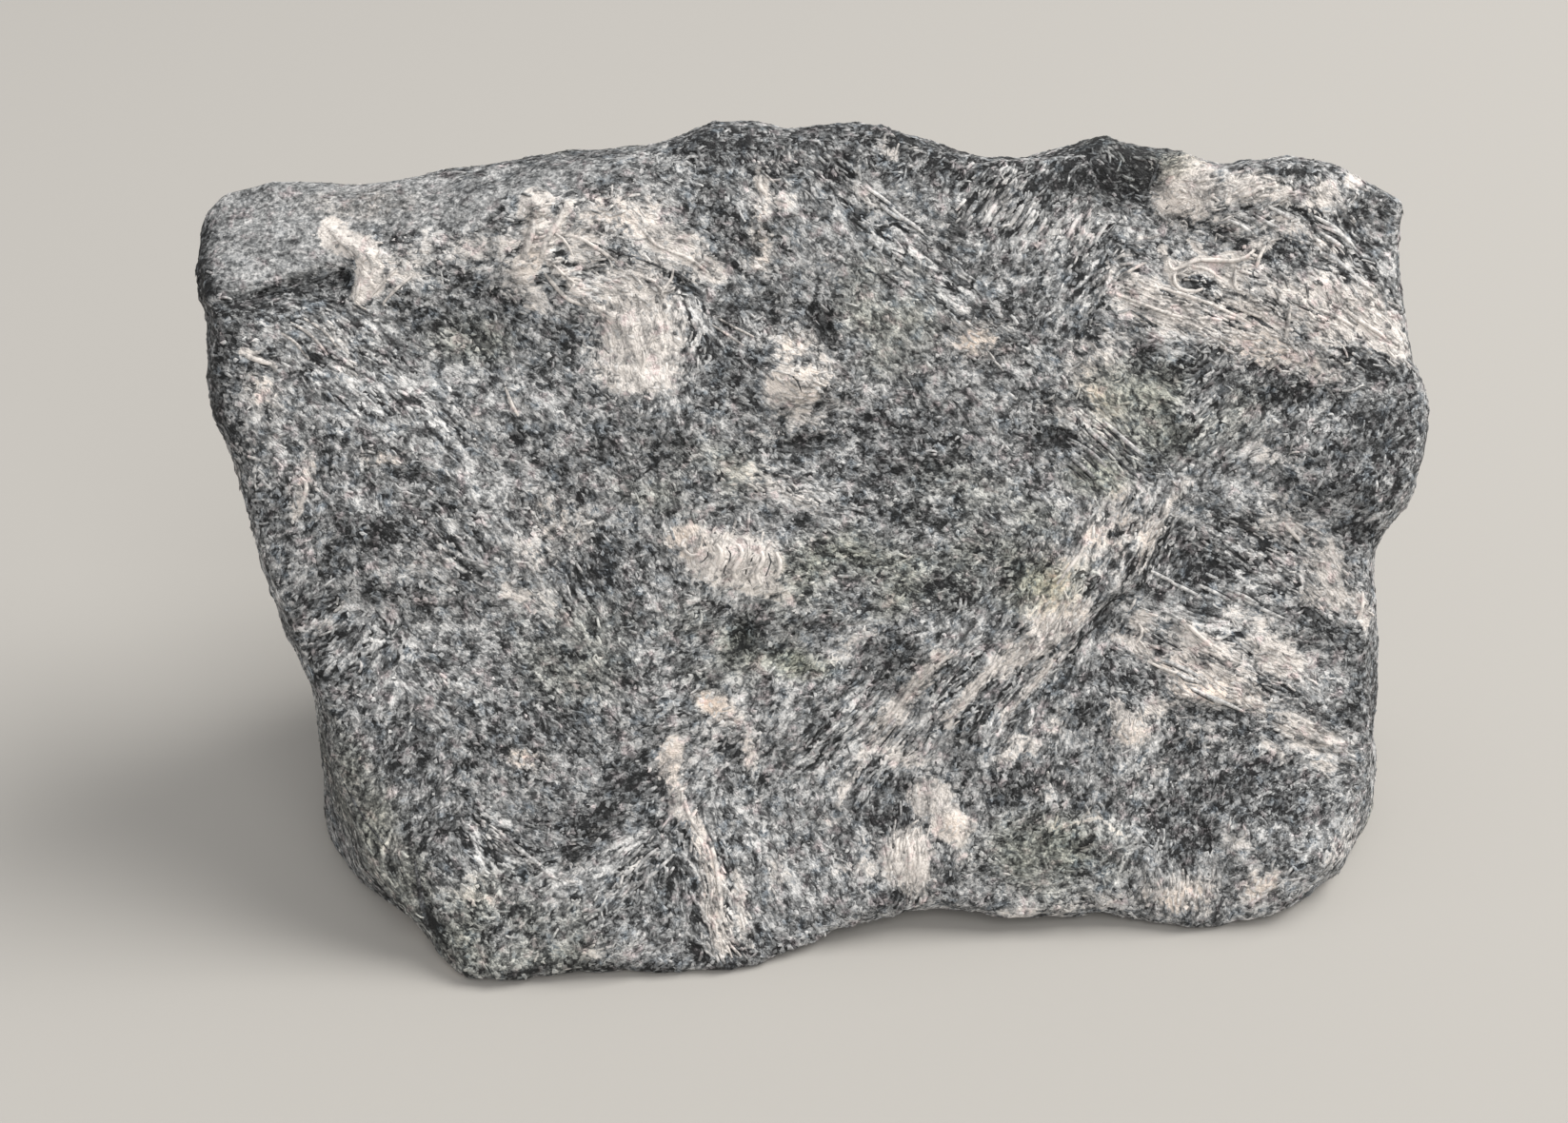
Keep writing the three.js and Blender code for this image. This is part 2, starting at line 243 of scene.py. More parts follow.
PALE_SPOTS = [
    (655, 225, 60, 28, 0, 66), (672, 315, 50, 50, 0, 85), (672, 360, 54, 52, 0, 95),
    (672, 396, 44, 22, 0, 110), (745, 285, 26, 18, -30, 80), (700, 250, 52, 22, -28, 90),
    (615, 262, 26, 40, 40, 75), (430, 275, 56, 26, 40, 60), (510, 262, 50, 18, 0, 72),
    (550, 305, 44, 20, -30, 66), (945, 795, 30, 16, -20, 75), (1150, 370, 40, 34, 0, 68),
    (1350, 560, 40, 30, -20, 60), (1255, 765, 40, 22, -10, 60), (1210, 810, 30, 14, 0, 50),
    (250, 470, 30, 40, 0, 45), (450, 580, 40, 24, -30, 45), (560, 580, 40, 26, -30, 50),
    (760, 770, 40, 30, 0, 50), (362, 385, 12, 14, 0, 60), (275, 412, 28, 18, -55, 55),
    (345, 345, 30, 10, -40, 50), (500, 450, 30, 16, -20, 45), (400, 480, 24, 9, -6, 65),
    (322, 508, 10, 32, -25, 65), (313, 537, 8, 9, 0, 100), (585, 545, 40, 20, -25, 62),
    (832, 404, 26, 20, 0, 150), (842, 385, 38, 36, -30, 62), (830, 432, 42, 13, -22, 70),
    (815, 455, 40, 7, -5, 60), (800, 505, 52, 15, -22, 68), (840, 520, 34, 14, -32, 60),
    (772, 590, 52, 27, -14, 155), (722, 566, 22, 16, 0, 100), (800, 618, 42, 12, -22, 80),
    (802, 190, 11, 24, 12, 85), (826, 168, 14, 12, 40, 60), (826, 212, 16, 16, 0, 62),
    (800, 245, 9, 36, 5, 65), (795, 276, 22, 9, 0, 70), (936, 160, 20, 9, -28, 90),
    (1027, 356, 32, 22, -18, 75), (905, 205, 40, 10, -40, 50), (1000, 235, 40, 14, 30, 35),
    (1045, 215, 30, 14, 50, 40), (1100, 260, 26, 20, 50, 35), (533, 620, 9, 10, 0, 100),
    (548, 626, 14, 7, 0, 90), (575, 635, 20, 16, -60, 55), (445, 625, 8, 9, 0, 60),
    (1242, 198, 30, 32, 0, 170), (1310, 198, 34, 17, 8, 110), (1345, 202, 24, 16, -20, 90),
    (1388, 203, 20, 16, 35, 105), (1345, 237, 26, 15, -15, 70), (1290, 236, 40, 9, -30, 65),
    (1415, 222, 34, 9, -32, 60), (1396, 264, 42, 12, -34, 65), (1225, 325, 70, 25, -16, 92),
    (1190, 300, 34, 14, 4, 90), (1250, 280, 22, 9, -5, 80), (1310, 340, 52, 38, -22, 95),
    (1290, 290, 24, 18, 0, 95), (1345, 300, 32, 22, -20, 70), (1395, 325, 55, 38, -28, 92),
    (1445, 335, 22, 42, 30, 100), (1330, 372, 46, 14, -12, 100), (1392, 392, 30, 22, 0, 72),
    (1420, 190, 14, 10, -30, 70), (1132, 262, 12, 28, -10, 50), (1150, 418, 34, 13, -50, 62),
    (1115, 432, 26, 11, -25, 62), (1165, 560, 38, 20, 30, 62), (1206, 570, 13, 42, -22, 85),
    (1178, 518, 16, 10, 30, 70), (1112, 603, 16, 24, 0, 80), (1100, 655, 30, 26, 30, 90),
    (1330, 475, 28, 15, -20, 60), (1346, 520, 12, 8, 0, 70), (1392, 592, 26, 24, -30, 85),
    (1395, 625, 34, 15, -10, 90), (1430, 640, 6, 24, 15, 100), (1320, 590, 50, 9, -25, 50),
    (1270, 690, 72, 26, -28, 80), (1195, 676, 30, 12, -30, 95), (1197, 652, 8, 16, 25, 95),
    (1250, 705, 42, 18, -18, 95), (1270, 725, 46, 13, -2, 140), (1316, 733, 12, 16, 20, 100),
    (1340, 690, 36, 26, -42, 92), (1310, 650, 40, 14, -22, 60), (1180, 757, 26, 15, -50, 140),
    (1215, 745, 22, 12, 10, 80), (1258, 815, 20, 9, 0, 65), (1375, 772, 42, 17, -22, 95),
    (1342, 790, 26, 8, -40, 80), (1395, 805, 22, 9, -10, 70), (1078, 782, 28, 14, 5, 72),
    (1108, 762, 14, 12, 0, 70), (1097, 832, 22, 16, 0, 60), (1055, 795, 12, 9, 0, 80),
    (1000, 868, 20, 18, 30, 180), (975, 838, 28, 22, 0, 110), (955, 905, 22, 34, 8, 170),
    (940, 890, 34, 18, 0, 75), (905, 912, 34, 12, 0, 65), (872, 862, 14, 9, 0, 60),
    (888, 830, 11, 24, -20, 72), (1012, 905, 14, 10, 0, 60), (815, 915, 12, 22, 10, 70),
    (1243, 943, 36, 17, 0, 95), (1204, 938, 9, 15, 0, 80), (1322, 930, 26, 14, 30, 70),
    (1298, 885, 18, 9, -10, 60), (1090, 953, 60, 9, 3, 60), (1405, 890, 34, 14, 48, 50),
    (1160, 945, 30, 12, 0, 50), (706, 795, 14, 22, 0, 120), (752, 742, 24, 12, -30, 85),
    (785, 790, 9, 26, 12, 85), (552, 796, 22, 12, -20, 72), (612, 893, 22, 8, 45, 72),
    (592, 920, 26, 10, 30, 50), (500, 925, 26, 7, -5, 62), (497, 942, 34, 9, -20, 72),
    (570, 948, 36, 14, 0, 35), (620, 1003, 20, 10, 20, 60), (560, 1012, 40, 9, 0, 30),
    (520, 880, 44, 10, -35, 45), (375, 798, 12, 5, 0, 80), (660, 935, 30, 14, 45, 35),
    (470, 720, 40, 10, -40, 35), (352, 650, 26, 5, 55, 60),
]

# Lines that more than one table has.
TUFT = [(562, 215), (566, 240), (560, 268), (548, 284)]
HOOK = [(596, 216), (572, 262), (590, 288), (616, 316), (650, 340)]
CURL = [(1222, 262), (1235, 298), (1250, 276), (1282, 270), (1310, 268), (1326, 250)]
SPLINTER = [(1245, 655), (1262, 670), (1278, 684)]
UPPER_STRAND = [(1062, 681), (1030, 715), (994, 758)]
LOWER_STRAND = [(1116, 685), (1085, 720), (1053, 758)]

# Lines through the points, with half width and strength in percent.
PALE_VEINS = [
    ([(350, 246), (360, 252), (372, 257), (386, 270), (389, 288), (383, 304)], 13, 140),
    ([(384, 292), (380, 308), (374, 324)], 5, 95), (TUFT, 15, 110), (HOOK, 6, 100),
    ([(1155, 303), (1180, 268), (1200, 250)], 4, 70), (CURL, 5, 110),
    ([(1318, 280), (1336, 252)], 4, 90), ([(1250, 254), (1285, 282), (1300, 306)], 4, 80),
    ([(1400, 320), (1450, 362), (1480, 372)], 6, 90), ([(1250, 232), (1310, 262)], 4, 70),
    ([(1248, 500), (1214, 548), (1196, 596)], 7, 80),
    ([(1128, 640), (1075, 690), (1050, 700)], 13, 100), (UPPER_STRAND, 6, 100),
    (LOWER_STRAND, 5, 80), ([(985, 690), (948, 735), (921, 772)], 10, 100),
    ([(921, 772), (900, 805)], 7, 70), (SPLINTER, 4, 120),
    ([(700, 812), (722, 862), (744, 900), (748, 925)], 8, 95),
    ([(744, 915), (746, 945), (758, 985)], 13, 100), ([(772, 918), (776, 950), (784, 988)], 7, 80),
    ([(690, 880), (660, 915), (640, 935)], 5, 50), ([(870, 700), (900, 672), (925, 655)], 7, 50),
    ([(1100, 870), (1152, 862), (1178, 878)], 3, 80), ([(252, 370), (290, 384)], 5, 90),
    ([(330, 668), (362, 632)], 4, 70), ([(350, 742), (376, 710)], 4, 60),
]

WARM_SPOTS = [
    (380, 215, 50, 14, 0, 50), (395, 868, 110, 26, -62, 20), (752, 742, 26, 13, -30, 100),
    (1027, 356, 34, 24, -18, 80), (1335, 370, 50, 16, -12, 60), (1270, 727, 48, 14, -2, 70),
    (1243, 943, 38, 18, 0, 60), (838, 362, 34, 24, 0, 50), (640, 225, 40, 26, 0, 35),
    (722, 568, 24, 18, 0, 60), (552, 796, 24, 13, -20, 70), (400, 480, 26, 10, -6, 70),
    (275, 412, 28, 18, -55, 35), (1150, 418, 34, 14, -50, 60), (1110, 610, 40, 40, 0, 60),
    (1165, 565, 60, 40, 20, 40), (1242, 202, 40, 32, 0, 15), (612, 890, 24, 10, 45, 70),
    (745, 925, 14, 50, 10, 40), (706, 800, 18, 26, 0, 50), (785, 790, 12, 28, 12, 50),
    (1000, 868, 18, 15, 30, 50), (585, 545, 42, 22, -25, 45), (1322, 930, 26, 14, 30, 50),
    (800, 245, 12, 40, 5, 60), (1190, 765, 20, 18, 0, 45), (850, 400, 40, 30, 0, 35),
    (1400, 265, 40, 14, -34, 30), (555, 270, 16, 20, 0, 50), (1240, 705, 30, 14, -20, 40),
    (315, 500, 14, 36, -25, 30),
]

# Dark mineral, and painted shade as well: the shadow under the ledges, the shaded left flank and
# foot, the darker top and lower edges, and the shade in the pits.
DARK_AND_SHADE_SPOTS = [
    (392, 862, 110, 30, -62, 90), (540, 770, 70, 44, 0, 50), (1050, 195, 50, 26, 0, 95),
    (1150, 280, 40, 36, 0, 40), (840, 480, 60, 40, 0, 35), (1240, 470, 50, 40, 0, 50),
    (1050, 590, 50, 40, 0, 45), (650, 680, 60, 50, 0, 35), (450, 870, 50, 40, 0, 50),
    (760, 990, 60, 26, 10, 70), (640, 960, 50, 30, 0, 40), (360, 470, 40, 30, 0, 35),
    (222, 400, 22, 100, 8, 105), (600, 166, 130, 18, 7, 55), (640, 185, 60, 22, 5, 40),
    (535, 968, 60, 34, 0, 35), (560, 880, 50, 30, 0, 45), (760, 150, 90, 20, 0, 100),
    (900, 142, 90, 18, -10, 80), (850, 165, 120, 26, 0, 60), (965, 160, 50, 16, -30, 140),
    (1010, 300, 90, 40, -36, 30), (950, 480, 60, 50, 0, 65), (300, 560, 40, 60, 30, 40),
    (345, 680, 40, 60, 30, 50), (211, 270, 12, 60, 4, 180), (762, 372, 30, 52, 20, 70),
    (700, 470, 40, 30, 0, 35), (1030, 163, 80, 16, 4, 170), (1180, 165, 60, 30, 0, 100),
    (1110, 176, 90, 24, 0, 180), (1445, 395, 40, 20, -30, 90), (1450, 460, 40, 60, 0, 85),
    (1262, 590, 44, 34, -10, 60), (1235, 792, 24, 18, -20, 60), (1315, 830, 66, 34, -15, 85),
    (1240, 875, 40, 30, 0, 70), (668, 826, 34, 36, 0, 80), (430, 800, 30, 40, 20, 60),
    (1180, 715, 50, 16, -15, 60), (940, 690, 40, 30, 45, 50), (800, 660, 60, 34, 0, 40),
    (920, 610, 50, 30, 0, 40), (650, 580, 40, 40, 0, 40), (530, 380, 60, 20, -25, 30),
    (700, 900, 24, 50, 10, 50), (620, 1018, 150, 8, 2, 70), (1350, 400, 60, 24, -8, 50),
    (1100, 450, 50, 30, 0, 30), (620, 870, 40, 20, 35, 110), (1180, 178, 42, 26, -5, 190),
    (1245, 395, 50, 12, -3, 80), (1345, 412, 42, 24, -10, 80), (1215, 372, 20, 12, 0, 60),
    (1420, 500, 52, 34, 30, 75), (1428, 562, 22, 22, 0, 100), (1400, 455, 20, 26, 0, 60),
    (1117, 461, 15, 12, 0, 220), (862, 334, 12, 20, 40, 130), (870, 358, 8, 20, 10, 80),
    (541, 462, 11, 10, 0, 100), (635, 470, 14, 20, 20, 120), (632, 600, 22, 40, 0, 120),
    (845, 466, 46, 9, 6, 110), (942, 536, 42, 18, -5, 70), (780, 665, 17, 19, 0, 120),
    (1005, 618, 44, 22, 5, 65), (893, 750, 16, 10, 0, 80), (930, 842, 34, 28, 60, 90),
    (1075, 822, 46, 20, 25, 85), (1150, 752, 26, 12, 0, 70), (720, 915, 18, 38, 10, 75),
    (398, 560, 36, 18, 0, 90), (505, 308, 44, 14, -20, 70), (520, 350, 34, 30, 0, 50),
    (575, 368, 40, 14, -25, 50), (450, 335, 40, 16, -30, 40), (812, 325, 22, 22, 0, 70),
    (765, 235, 40, 22, -35, 70), (1352, 181, 36, 9, -3, 95), (1265, 595, 60, 22, -8, 80),
    (1205, 600, 26, 18, 40, 70), (1162, 645, 26, 9, 50, 90), (1432, 715, 14, 50, 5, 75),
    (1376, 643, 12, 14, 0, 100), (1400, 662, 24, 14, -10, 60), (1290, 252, 60, 8, -26, 80),
    (1350, 262, 38, 12, -20, 75), (1385, 232, 30, 7, -30, 80), (1440, 225, 26, 26, 0, 40),
    (292, 308, 64, 9, 15, 110), (357, 293, 8, 10, -30, 100), (250, 330, 50, 10, 8, 80),
    (320, 312, 50, 10, 14, 80), (228, 345, 22, 36, 0, 85), (262, 383, 26, 8, -10, 70),
    (318, 330, 50, 12, 10, 45), (555, 232, 18, 6, 12, 80), (582, 272, 12, 10, -40, 60),
    (715, 298, 24, 9, -32, 90), (1060, 235, 16, 14, 30, 60), (1140, 340, 18, 30, 20, 60),
    (1310, 558, 34, 6, -15, 100), (1325, 575, 16, 6, 0, 100), (1200, 672, 30, 4, -28, 90),
    (1345, 722, 20, 6, -20, 90), (1300, 326, 44, 4, -22, 100), (1290, 336, 46, 3, -22, 90),
    (1255, 296, 24, 8, -20, 80), (1275, 695, 30, 4, -8, 80), (449, 955, 46, 8, -70, 160),
    (1100, 895, 50, 30, 0, 45), (1100, 415, 22, 8, -30, 80), (470, 535, 14, 8, 0, 120),
    (420, 495, 12, 8, 0, 120), (600, 510, 34, 10, -45, 60), (420, 630, 30, 14, -25, 60),
    (855, 590, 20, 34, 0, 50), (560, 700, 44, 18, -20, 30), (860, 770, 14, 16, 0, 70),
    (768, 790, 14, 16, 0, 70), (1240, 760, 20, 12, 0, 60), (1300, 770, 20, 14, 0, 70),
    (1150, 850, 60, 14, 0, 40), (1040, 740, 44, 9, 48, 70), (760, 905, 8, 30, 20, 60),
    (660, 755, 30, 20, 0, 35),
]

OLIVE_SPOTS = [
    (395, 868, 110, 26, -62, 45), (540, 990, 90, 40, 0, 50), (720, 500, 60, 32, 0, 70),
    (765, 670, 62, 42, 0, 60), (822, 695, 46, 14, -5, 100), (930, 330, 46, 52, 0, 45),
    (905, 600, 66, 40, 0, 80), (1090, 590, 44, 46, 0, 80), (1215, 430, 90, 44, 0, 50),
    (500, 355, 44, 22, 0, 40), (1150, 500, 30, 20, 0, 50), (1000, 560, 60, 60, 0, 40),
    (1100, 900, 70, 40, 0, 50), (1190, 170, 50, 20, 0, 50), (520, 960, 60, 40, 0, 30),
    (600, 680, 60, 50, 0, 30),
]

# The smoother, more even stone: the slope at the top left and the end of the foot.
CALM_SPOTS = [
    (395, 868, 110, 26, -62, 90), (672, 350, 46, 56, 0, 35), (1085, 905, 50, 34, 0, 60),
    (832, 404, 22, 16, 0, 30), (450, 215, 90, 30, 6, 80), (570, 185, 100, 22, 6, 70),
    (285, 245, 78, 55, 5, 100), (350, 215, 80, 30, 0, 100), (250, 280, 28, 34, 0, 100),
    (320, 270, 50, 22, 12, 100),
]

# Where the grains are drawn out into long strands.
STRAND_SPOTS = [
    (370, 380, 80, 44, -38, 100), (450, 430, 60, 30, -40, 80), (620, 300, 60, 30, -40, 70),
    (730, 345, 40, 24, -28, 100), (1060, 200, 70, 36, 50, 90), (1150, 250, 50, 24, 60, 70),
    (900, 210, 60, 26, -40, 70), (980, 290, 90, 40, -36, 60), (1220, 330, 90, 36, -18, 100),
    (1310, 330, 70, 44, -22, 100), (1420, 330, 60, 50, -30, 90), (1330, 220, 60, 30, -30, 60),
    (1400, 250, 50, 24, -32, 90), (1260, 430, 60, 24, -45, 60), (1160, 470, 60, 30, -42, 80),
    (1330, 585, 80, 36, -26, 100), (1270, 690, 90, 40, -28, 100), (1190, 560, 50, 50, 60, 60),
    (1090, 690, 110, 40, 48, 100), (980, 740, 110, 34, 50, 90), (890, 760, 60, 26, 48, 70),
    (1375, 772, 50, 20, -22, 80), (740, 920, 30, 80, 12, 100), (950, 905, 20, 44, 8, 100),
    (520, 890, 60, 28, -36, 90), (650, 920, 60, 26, 44, 80), (420, 680, 60, 30, -40, 60),
    (350, 670, 40, 30, 50, 80), (600, 640, 60, 40, -60, 40), (400, 910, 30, 60, 20, 70),
    (1240, 940, 40, 20, 0, 70), (560, 250, 24, 40, 10, 60), (830, 420, 40, 30, -22, 50),
    (820, 510, 60, 20, -22, 60), (775, 588, 44, 22, 70, 60), (480, 560, 60, 40, -42, 50),
]

SPOT_REACH, VEIN_REACH = 1.5, 1.6  # where a mask ends, in half sizes from the middle

# The grain of the rock turns from place to place: x, y, reach, direction in degrees.
FLOW = [
    (380, 370, 90, -40), (560, 420, 110, -40), (330, 480, 60, -50), (480, 600, 110, -42),
    (360, 690, 80, 50), (560, 760, 100, -38), (620, 930, 90, 42), (530, 890, 50, -36),
    (430, 820, 60, 60), (700, 250, 60, -30), (690, 360, 60, 80), (760, 300, 60, -36),
    (800, 220, 50, -38), (900, 220, 60, -42), (960, 190, 50, 44), (1060, 230, 70, 52),
    (1120, 300, 60, 60), (980, 340, 100, -36), (1100, 420, 80, -38), (840, 400, 60, -25),
    (800, 510, 60, -22), (770, 585, 40, 70), (930, 560, 90, -8), (1180, 460, 70, -42),
    (1290, 430, 70, 50), (1250, 320, 90, -20), (1400, 320, 90, -32), (1300, 210, 60, 20),
    (1400, 240, 50, -32), (1440, 470, 70, 52), (1200, 560, 60, 60), (1130, 620, 60, 62),
    (1330, 590, 80, -26), (1270, 690, 90, -28), (1380, 600, 40, -60), (1000, 720, 110, 48),
    (880, 760, 90, 46), (760, 680, 80, 30), (1080, 790, 70, 70), (950, 880, 70, 82),
    (820, 880, 70, -60), (740, 930, 50, -75), (680, 830, 60, 50), (1200, 830, 80, 75),
    (1240, 940, 60, 86), (1330, 850, 80, 40), (1375, 775, 50, -22), (1400, 890, 50, 55),
    (300, 230, 120, 5), (560, 190, 120, 8), (380, 900, 50, 110), (1090, 950, 60, 6),
    (640, 600, 80, -60), (300, 600, 60, 55),
]
FLOW_ELSEWHERE = -35.0  # degrees
FLOW_BASE = 0.02  # weight of that direction, against 1 in the middle of an entry
FLOW_FALL = 2.2  # how fast an entry's weight falls on the way to its reach

# Lumps and, below zero, pits: x, y, half length, half width, turn, rise in millimetres.
RELIEF_SPOTS = [
    (780, 665, 13, 14, 0, -0.7), (1116, 461, 12, 11, 0, -0.6), (862, 336, 9, 17, 40, -0.7),
    (541, 462, 9, 9, 0, -0.4), (357, 291, 11, 12, -30, -0.9), (845, 467, 44, 8, 6, -0.45),
    (292, 306, 66, 7, 15, -0.6), (287, 290, 68, 9, 15, 0.3), (838, 400, 34, 24, -18, 0.45),
    (770, 586, 50, 20, -14, 0.4), (685, 350, 40, 60, 0, 0.35), (1310, 558, 32, 6, -15, -0.35),
    (1163, 646, 26, 8, 50, -0.5), (632, 876, 22, 8, 35, -0.5), (1376, 643, 11, 12, 0, -0.4),
    (447, 940, 6, 40, 2, -0.4), (1300, 326, 40, 4, -22, -0.3), (715, 298, 20, 8, -32, -0.3),
    (1215, 190, 12, 34, -20, -0.5), (1240, 200, 26, 26, 0, 0.4), (1428, 565, 18, 20, 0, -0.5),
    (1270, 730, 46, 9, -4, 0.35), (1270, 750, 60, 8, -2, -0.3), (1180, 765, 20, 18, 0, 0.4),
    (555, 233, 22, 5, 12, -0.3), (1000, 866, 14, 14, 0, 0.35), (930, 842, 30, 26, 60, -0.4),
    (870, 358, 7, 20, 10, -0.4),
]
RELIEF_VEINS = [
    ([(348, 246), (360, 254), (376, 262), (386, 276), (386, 294), (378, 312)], 9, 0.42),
    (TUFT, 12, 0.4), (HOOK, 6, 0.3), (CURL, 5, 0.3), (SPLINTER, 5, 0.3),
    ([(1248, 500), (1214, 548), (1140, 640), (1075, 700), (1010, 768)], 10, 0.35),
    ([(712, 832), (722, 868), (742, 898), (750, 930), (757, 985)], 8, 0.25),
]

# Shifts of the outline: x, y, half length, half width, turn, and millimetres to the
# right, up the picture and towards the camera along the floor.
OUTLINE_SHIFTS = [
    (240, 207, 34, 20, 38, -0.3, 0.5, 0), (214, 338, 50, 16, 88, 0.38, 0, 0),
    (462, 184, 40, 16, 5, 0, 0.3, 0), (1168, 150, 40, 18, 5, 0, 0.62, 0),
    (1292, 172, 18, 14, 0, 0, -0.4, 0), (1350, 166, 46, 14, -5, 0, -0.42, 0),
    (1466, 210, 14, 14, 0, 0.32, 0.1, 0), (1468, 268, 50, 14, 86, 0.52, 0, 0),
    (1490, 425, 40, 14, 80, 0.3, 0, 0), (375, 915, 24, 16, -55, -0.45, -0.25, 0),
    (765, 1012, 90, 20, 5, 0, 0, 0.75), (1075, 958, 70, 16, -2, 0, 0, 0.75),
    (1350, 955, 50, 20, 15, 0.1, 0, 0.6), (520, 1020, 50, 16, 0, 0, 0, 0.6),
    (1400, 920, 30, 20, 45, 0.25, 0, 0.2), (835, 136, 30, 14, 0, 0, -0.32, 0),
]
SHIFT_WAYS = np.array([RIGHT, UPWARD, [0, -1, 0]])


def spot_distance(x, y, spot):
    """Distance from a spot's middle, counted in its own half sizes."""
    sx, sy, half_long, half_wide, turn = spot[:5]
    c, s = math.cos(math.radians(turn)), math.sin(math.radians(turn))
    dx, dy = x - sx, sy - y
    return np.hypot((dx * c + dy * s) / half_long, (-dx * s + dy * c) / half_wide)


def vein_distance(x, y, points, half_width):
    """Distance from a line through points, counted in its half width."""
    nearest = np.full(len(x), np.inf)
    for (ax, ay), (bx, by) in zip(points, points[1:]):
        ex, ey = bx - ax, by - ay
        t = np.clip(((x - ax) * ex + (y - ay) * ey) / (ex * ex + ey * ey), 0, 1)
        nearest = np.minimum(nearest, np.hypot(x - ax - t * ex, y - ay - t * ey))
    return nearest / half_width


def mask_of(x, y, spots, veins=()):
    """Full strength inside the spots and veins, half at their edges, 0 well outside."""
    mask = np.zeros(len(x))
    for spot in spots:
        inside = np.clip(SPOT_REACH - spot_distance(x, y, spot), 0, 1)
        mask = np.maximum(mask, spot[5] / 100 * inside)
    for points, half_width, strength in veins:
        inside = np.clip(VEIN_REACH - vein_distance(x, y, points, half_width), 0, 1)
        mask = np.maximum(mask, strength / 100 * inside)
    return mask


def flow_of(x, y):
    """Direction of the grain, in radians, as a blend of the nearest entries."""
    double = math.radians(2 * FLOW_ELSEWHERE)
    c = np.full(len(x), FLOW_BASE * math.cos(double))
    s = np.full(len(x), FLOW_BASE * math.sin(double))
    for fx, fy, reach, degrees in FLOW:
        weight = np.exp(-FLOW_FALL * ((x - fx) ** 2 + (y - fy) ** 2) / reach**2)
        c += weight * math.cos(math.radians(2 * degrees))
        s += weight * math.sin(math.radians(2 * degrees))
    return np.arctan2(s, c) / 2


# ---- The dressed rock --------------------------------------------------------------

FRONT_EDGE = 0.52 * MM  # edge length wanted on the camera's side
BACK_EDGE = 1.1 * MM
FACE_FOOT = (-0.028, -0.026)  # X and Y of a point at the foot of the broad face
FACE_SKEW, FACE_LEAN = 0.095, 0.4877  # how far it goes back, for each metre along and up
FACE_MARGIN = 0.0035
UNDERSIDE = 0.0004
ROUNDS = (3, 3, 2, 1)  # rounds of smoothing after each split of the facets


def wanted_length(points):
    """Fine on the broad face and what shows beside it, coarser behind and below."""
    x, y, z = points.T
    face = FACE_FOOT[1] + FACE_SKEW * (x - FACE_FOOT[0]) + FACE_LEAN * z
    return np.where((y < face + FACE_MARGIN) & (z >= UNDERSIDE), FRONT_EDGE, BACK_EDGE)


# Fine relief: height and wavelength in millimetres, and seed.
ROUND_WAVES = [(0.26, 5.5, 1), (0.19, 2.8, 2)]
DRAWN_WAVES = [(0.12, 1.3, 5), (0.06, 0.75, 6)]
DRAWN_OUT = 2.2  # how much longer the drawn waves and the ridges are along the grain
RIDGE_HEIGHT, RIDGE_LENGTH, RIDGE_MIDDLE = 0.22, 2.6, 0.35
RIDGE_CHANGES = 9  # millimetres over which the ridges grow and fade


def rock_relief(points, x, y, seen, flow):
    """Height of the fine relief at each point, in metres."""
    mm = points / MM
    u, v, w = mm[:, 0], mm @ UP_FACE, mm @ OUT_OF_FACE
    along = u * np.cos(flow) + v * np.sin(flow)
    across = -u * np.sin(flow) + v * np.cos(flow)
    drawn = np.stack([along / DRAWN_OUT, across, w], axis=1)
    ridges = RIDGE_MIDDLE - np.abs(noise(drawn / RIDGE_LENGTH, 3))
    growth = 0.6 + 0.8 * np.abs(noise(mm / RIDGE_CHANGES, 4))
    height = waves(mm, *ROUND_WAVES) + RIDGE_HEIGHT * ridges * growth
    height += waves(drawn, *DRAWN_WAVES)
    for spot in RELIEF_SPOTS:
        height += seen * spot[5] * np.exp(-spot_distance(x, y, spot) ** 2)
    for line, half_width, rise in RELIEF_VEINS:
        height += seen * rise * np.exp(-vein_distance(x, y, line, half_width) ** 2)
    return height * MM


DOMAIN_GAP = 3.2 * MM  # least distance between the middles of two domains
DOMAIN_TRIES = 6000
DOMAIN_WARP, DOMAIN_WARP_LENGTH = 1.1, 2.2  # millimetres that their borders stray, and over
DOMAIN_TURN = 0.16  # radians that their directions vary by
DOMAIN_WILD = 1.3  # and how much more at the most, where the camera doesn't see
DOMAIN_SHIFT = 90  # millimetres, the most that a domain's pattern is moved


def grain_domains(points, faces, seen, flow):
    """For each face the direction, offset and tone of the small domain it is in."""
    random = np.random.default_rng(DOMAIN_SEED)
    seeds = []
    for pick in random.integers(0, len(points), DOMAIN_TRIES):
        place = points[pick]
        if not seeds or np.min(((points[seeds] - place) ** 2).sum(axis=1)) > DOMAIN_GAP**2:
            seeds.append(pick)
    tree = tree_of(points[seeds])
    middle = points[faces].mean(axis=1)
    warp = noise3(middle / MM / DOMAIN_WARP_LENGTH, 21) * DOMAIN_WARP * MM
    nearest = np.array([tree.find(place)[1] for place in middle + warp])
    wild = random.uniform(-DOMAIN_WILD, DOMAIN_WILD, len(seeds))
    turn = flow[seeds] + random.normal(0, DOMAIN_TURN, len(seeds)) + wild * (1 - seen[seeds])
    shift = random.uniform(0, DOMAIN_SHIFT, (len(seeds), 3))
    tone = random.uniform(-1, 1, len(seeds))
    return turn[nearest], shift[nearest], tone[nearest]


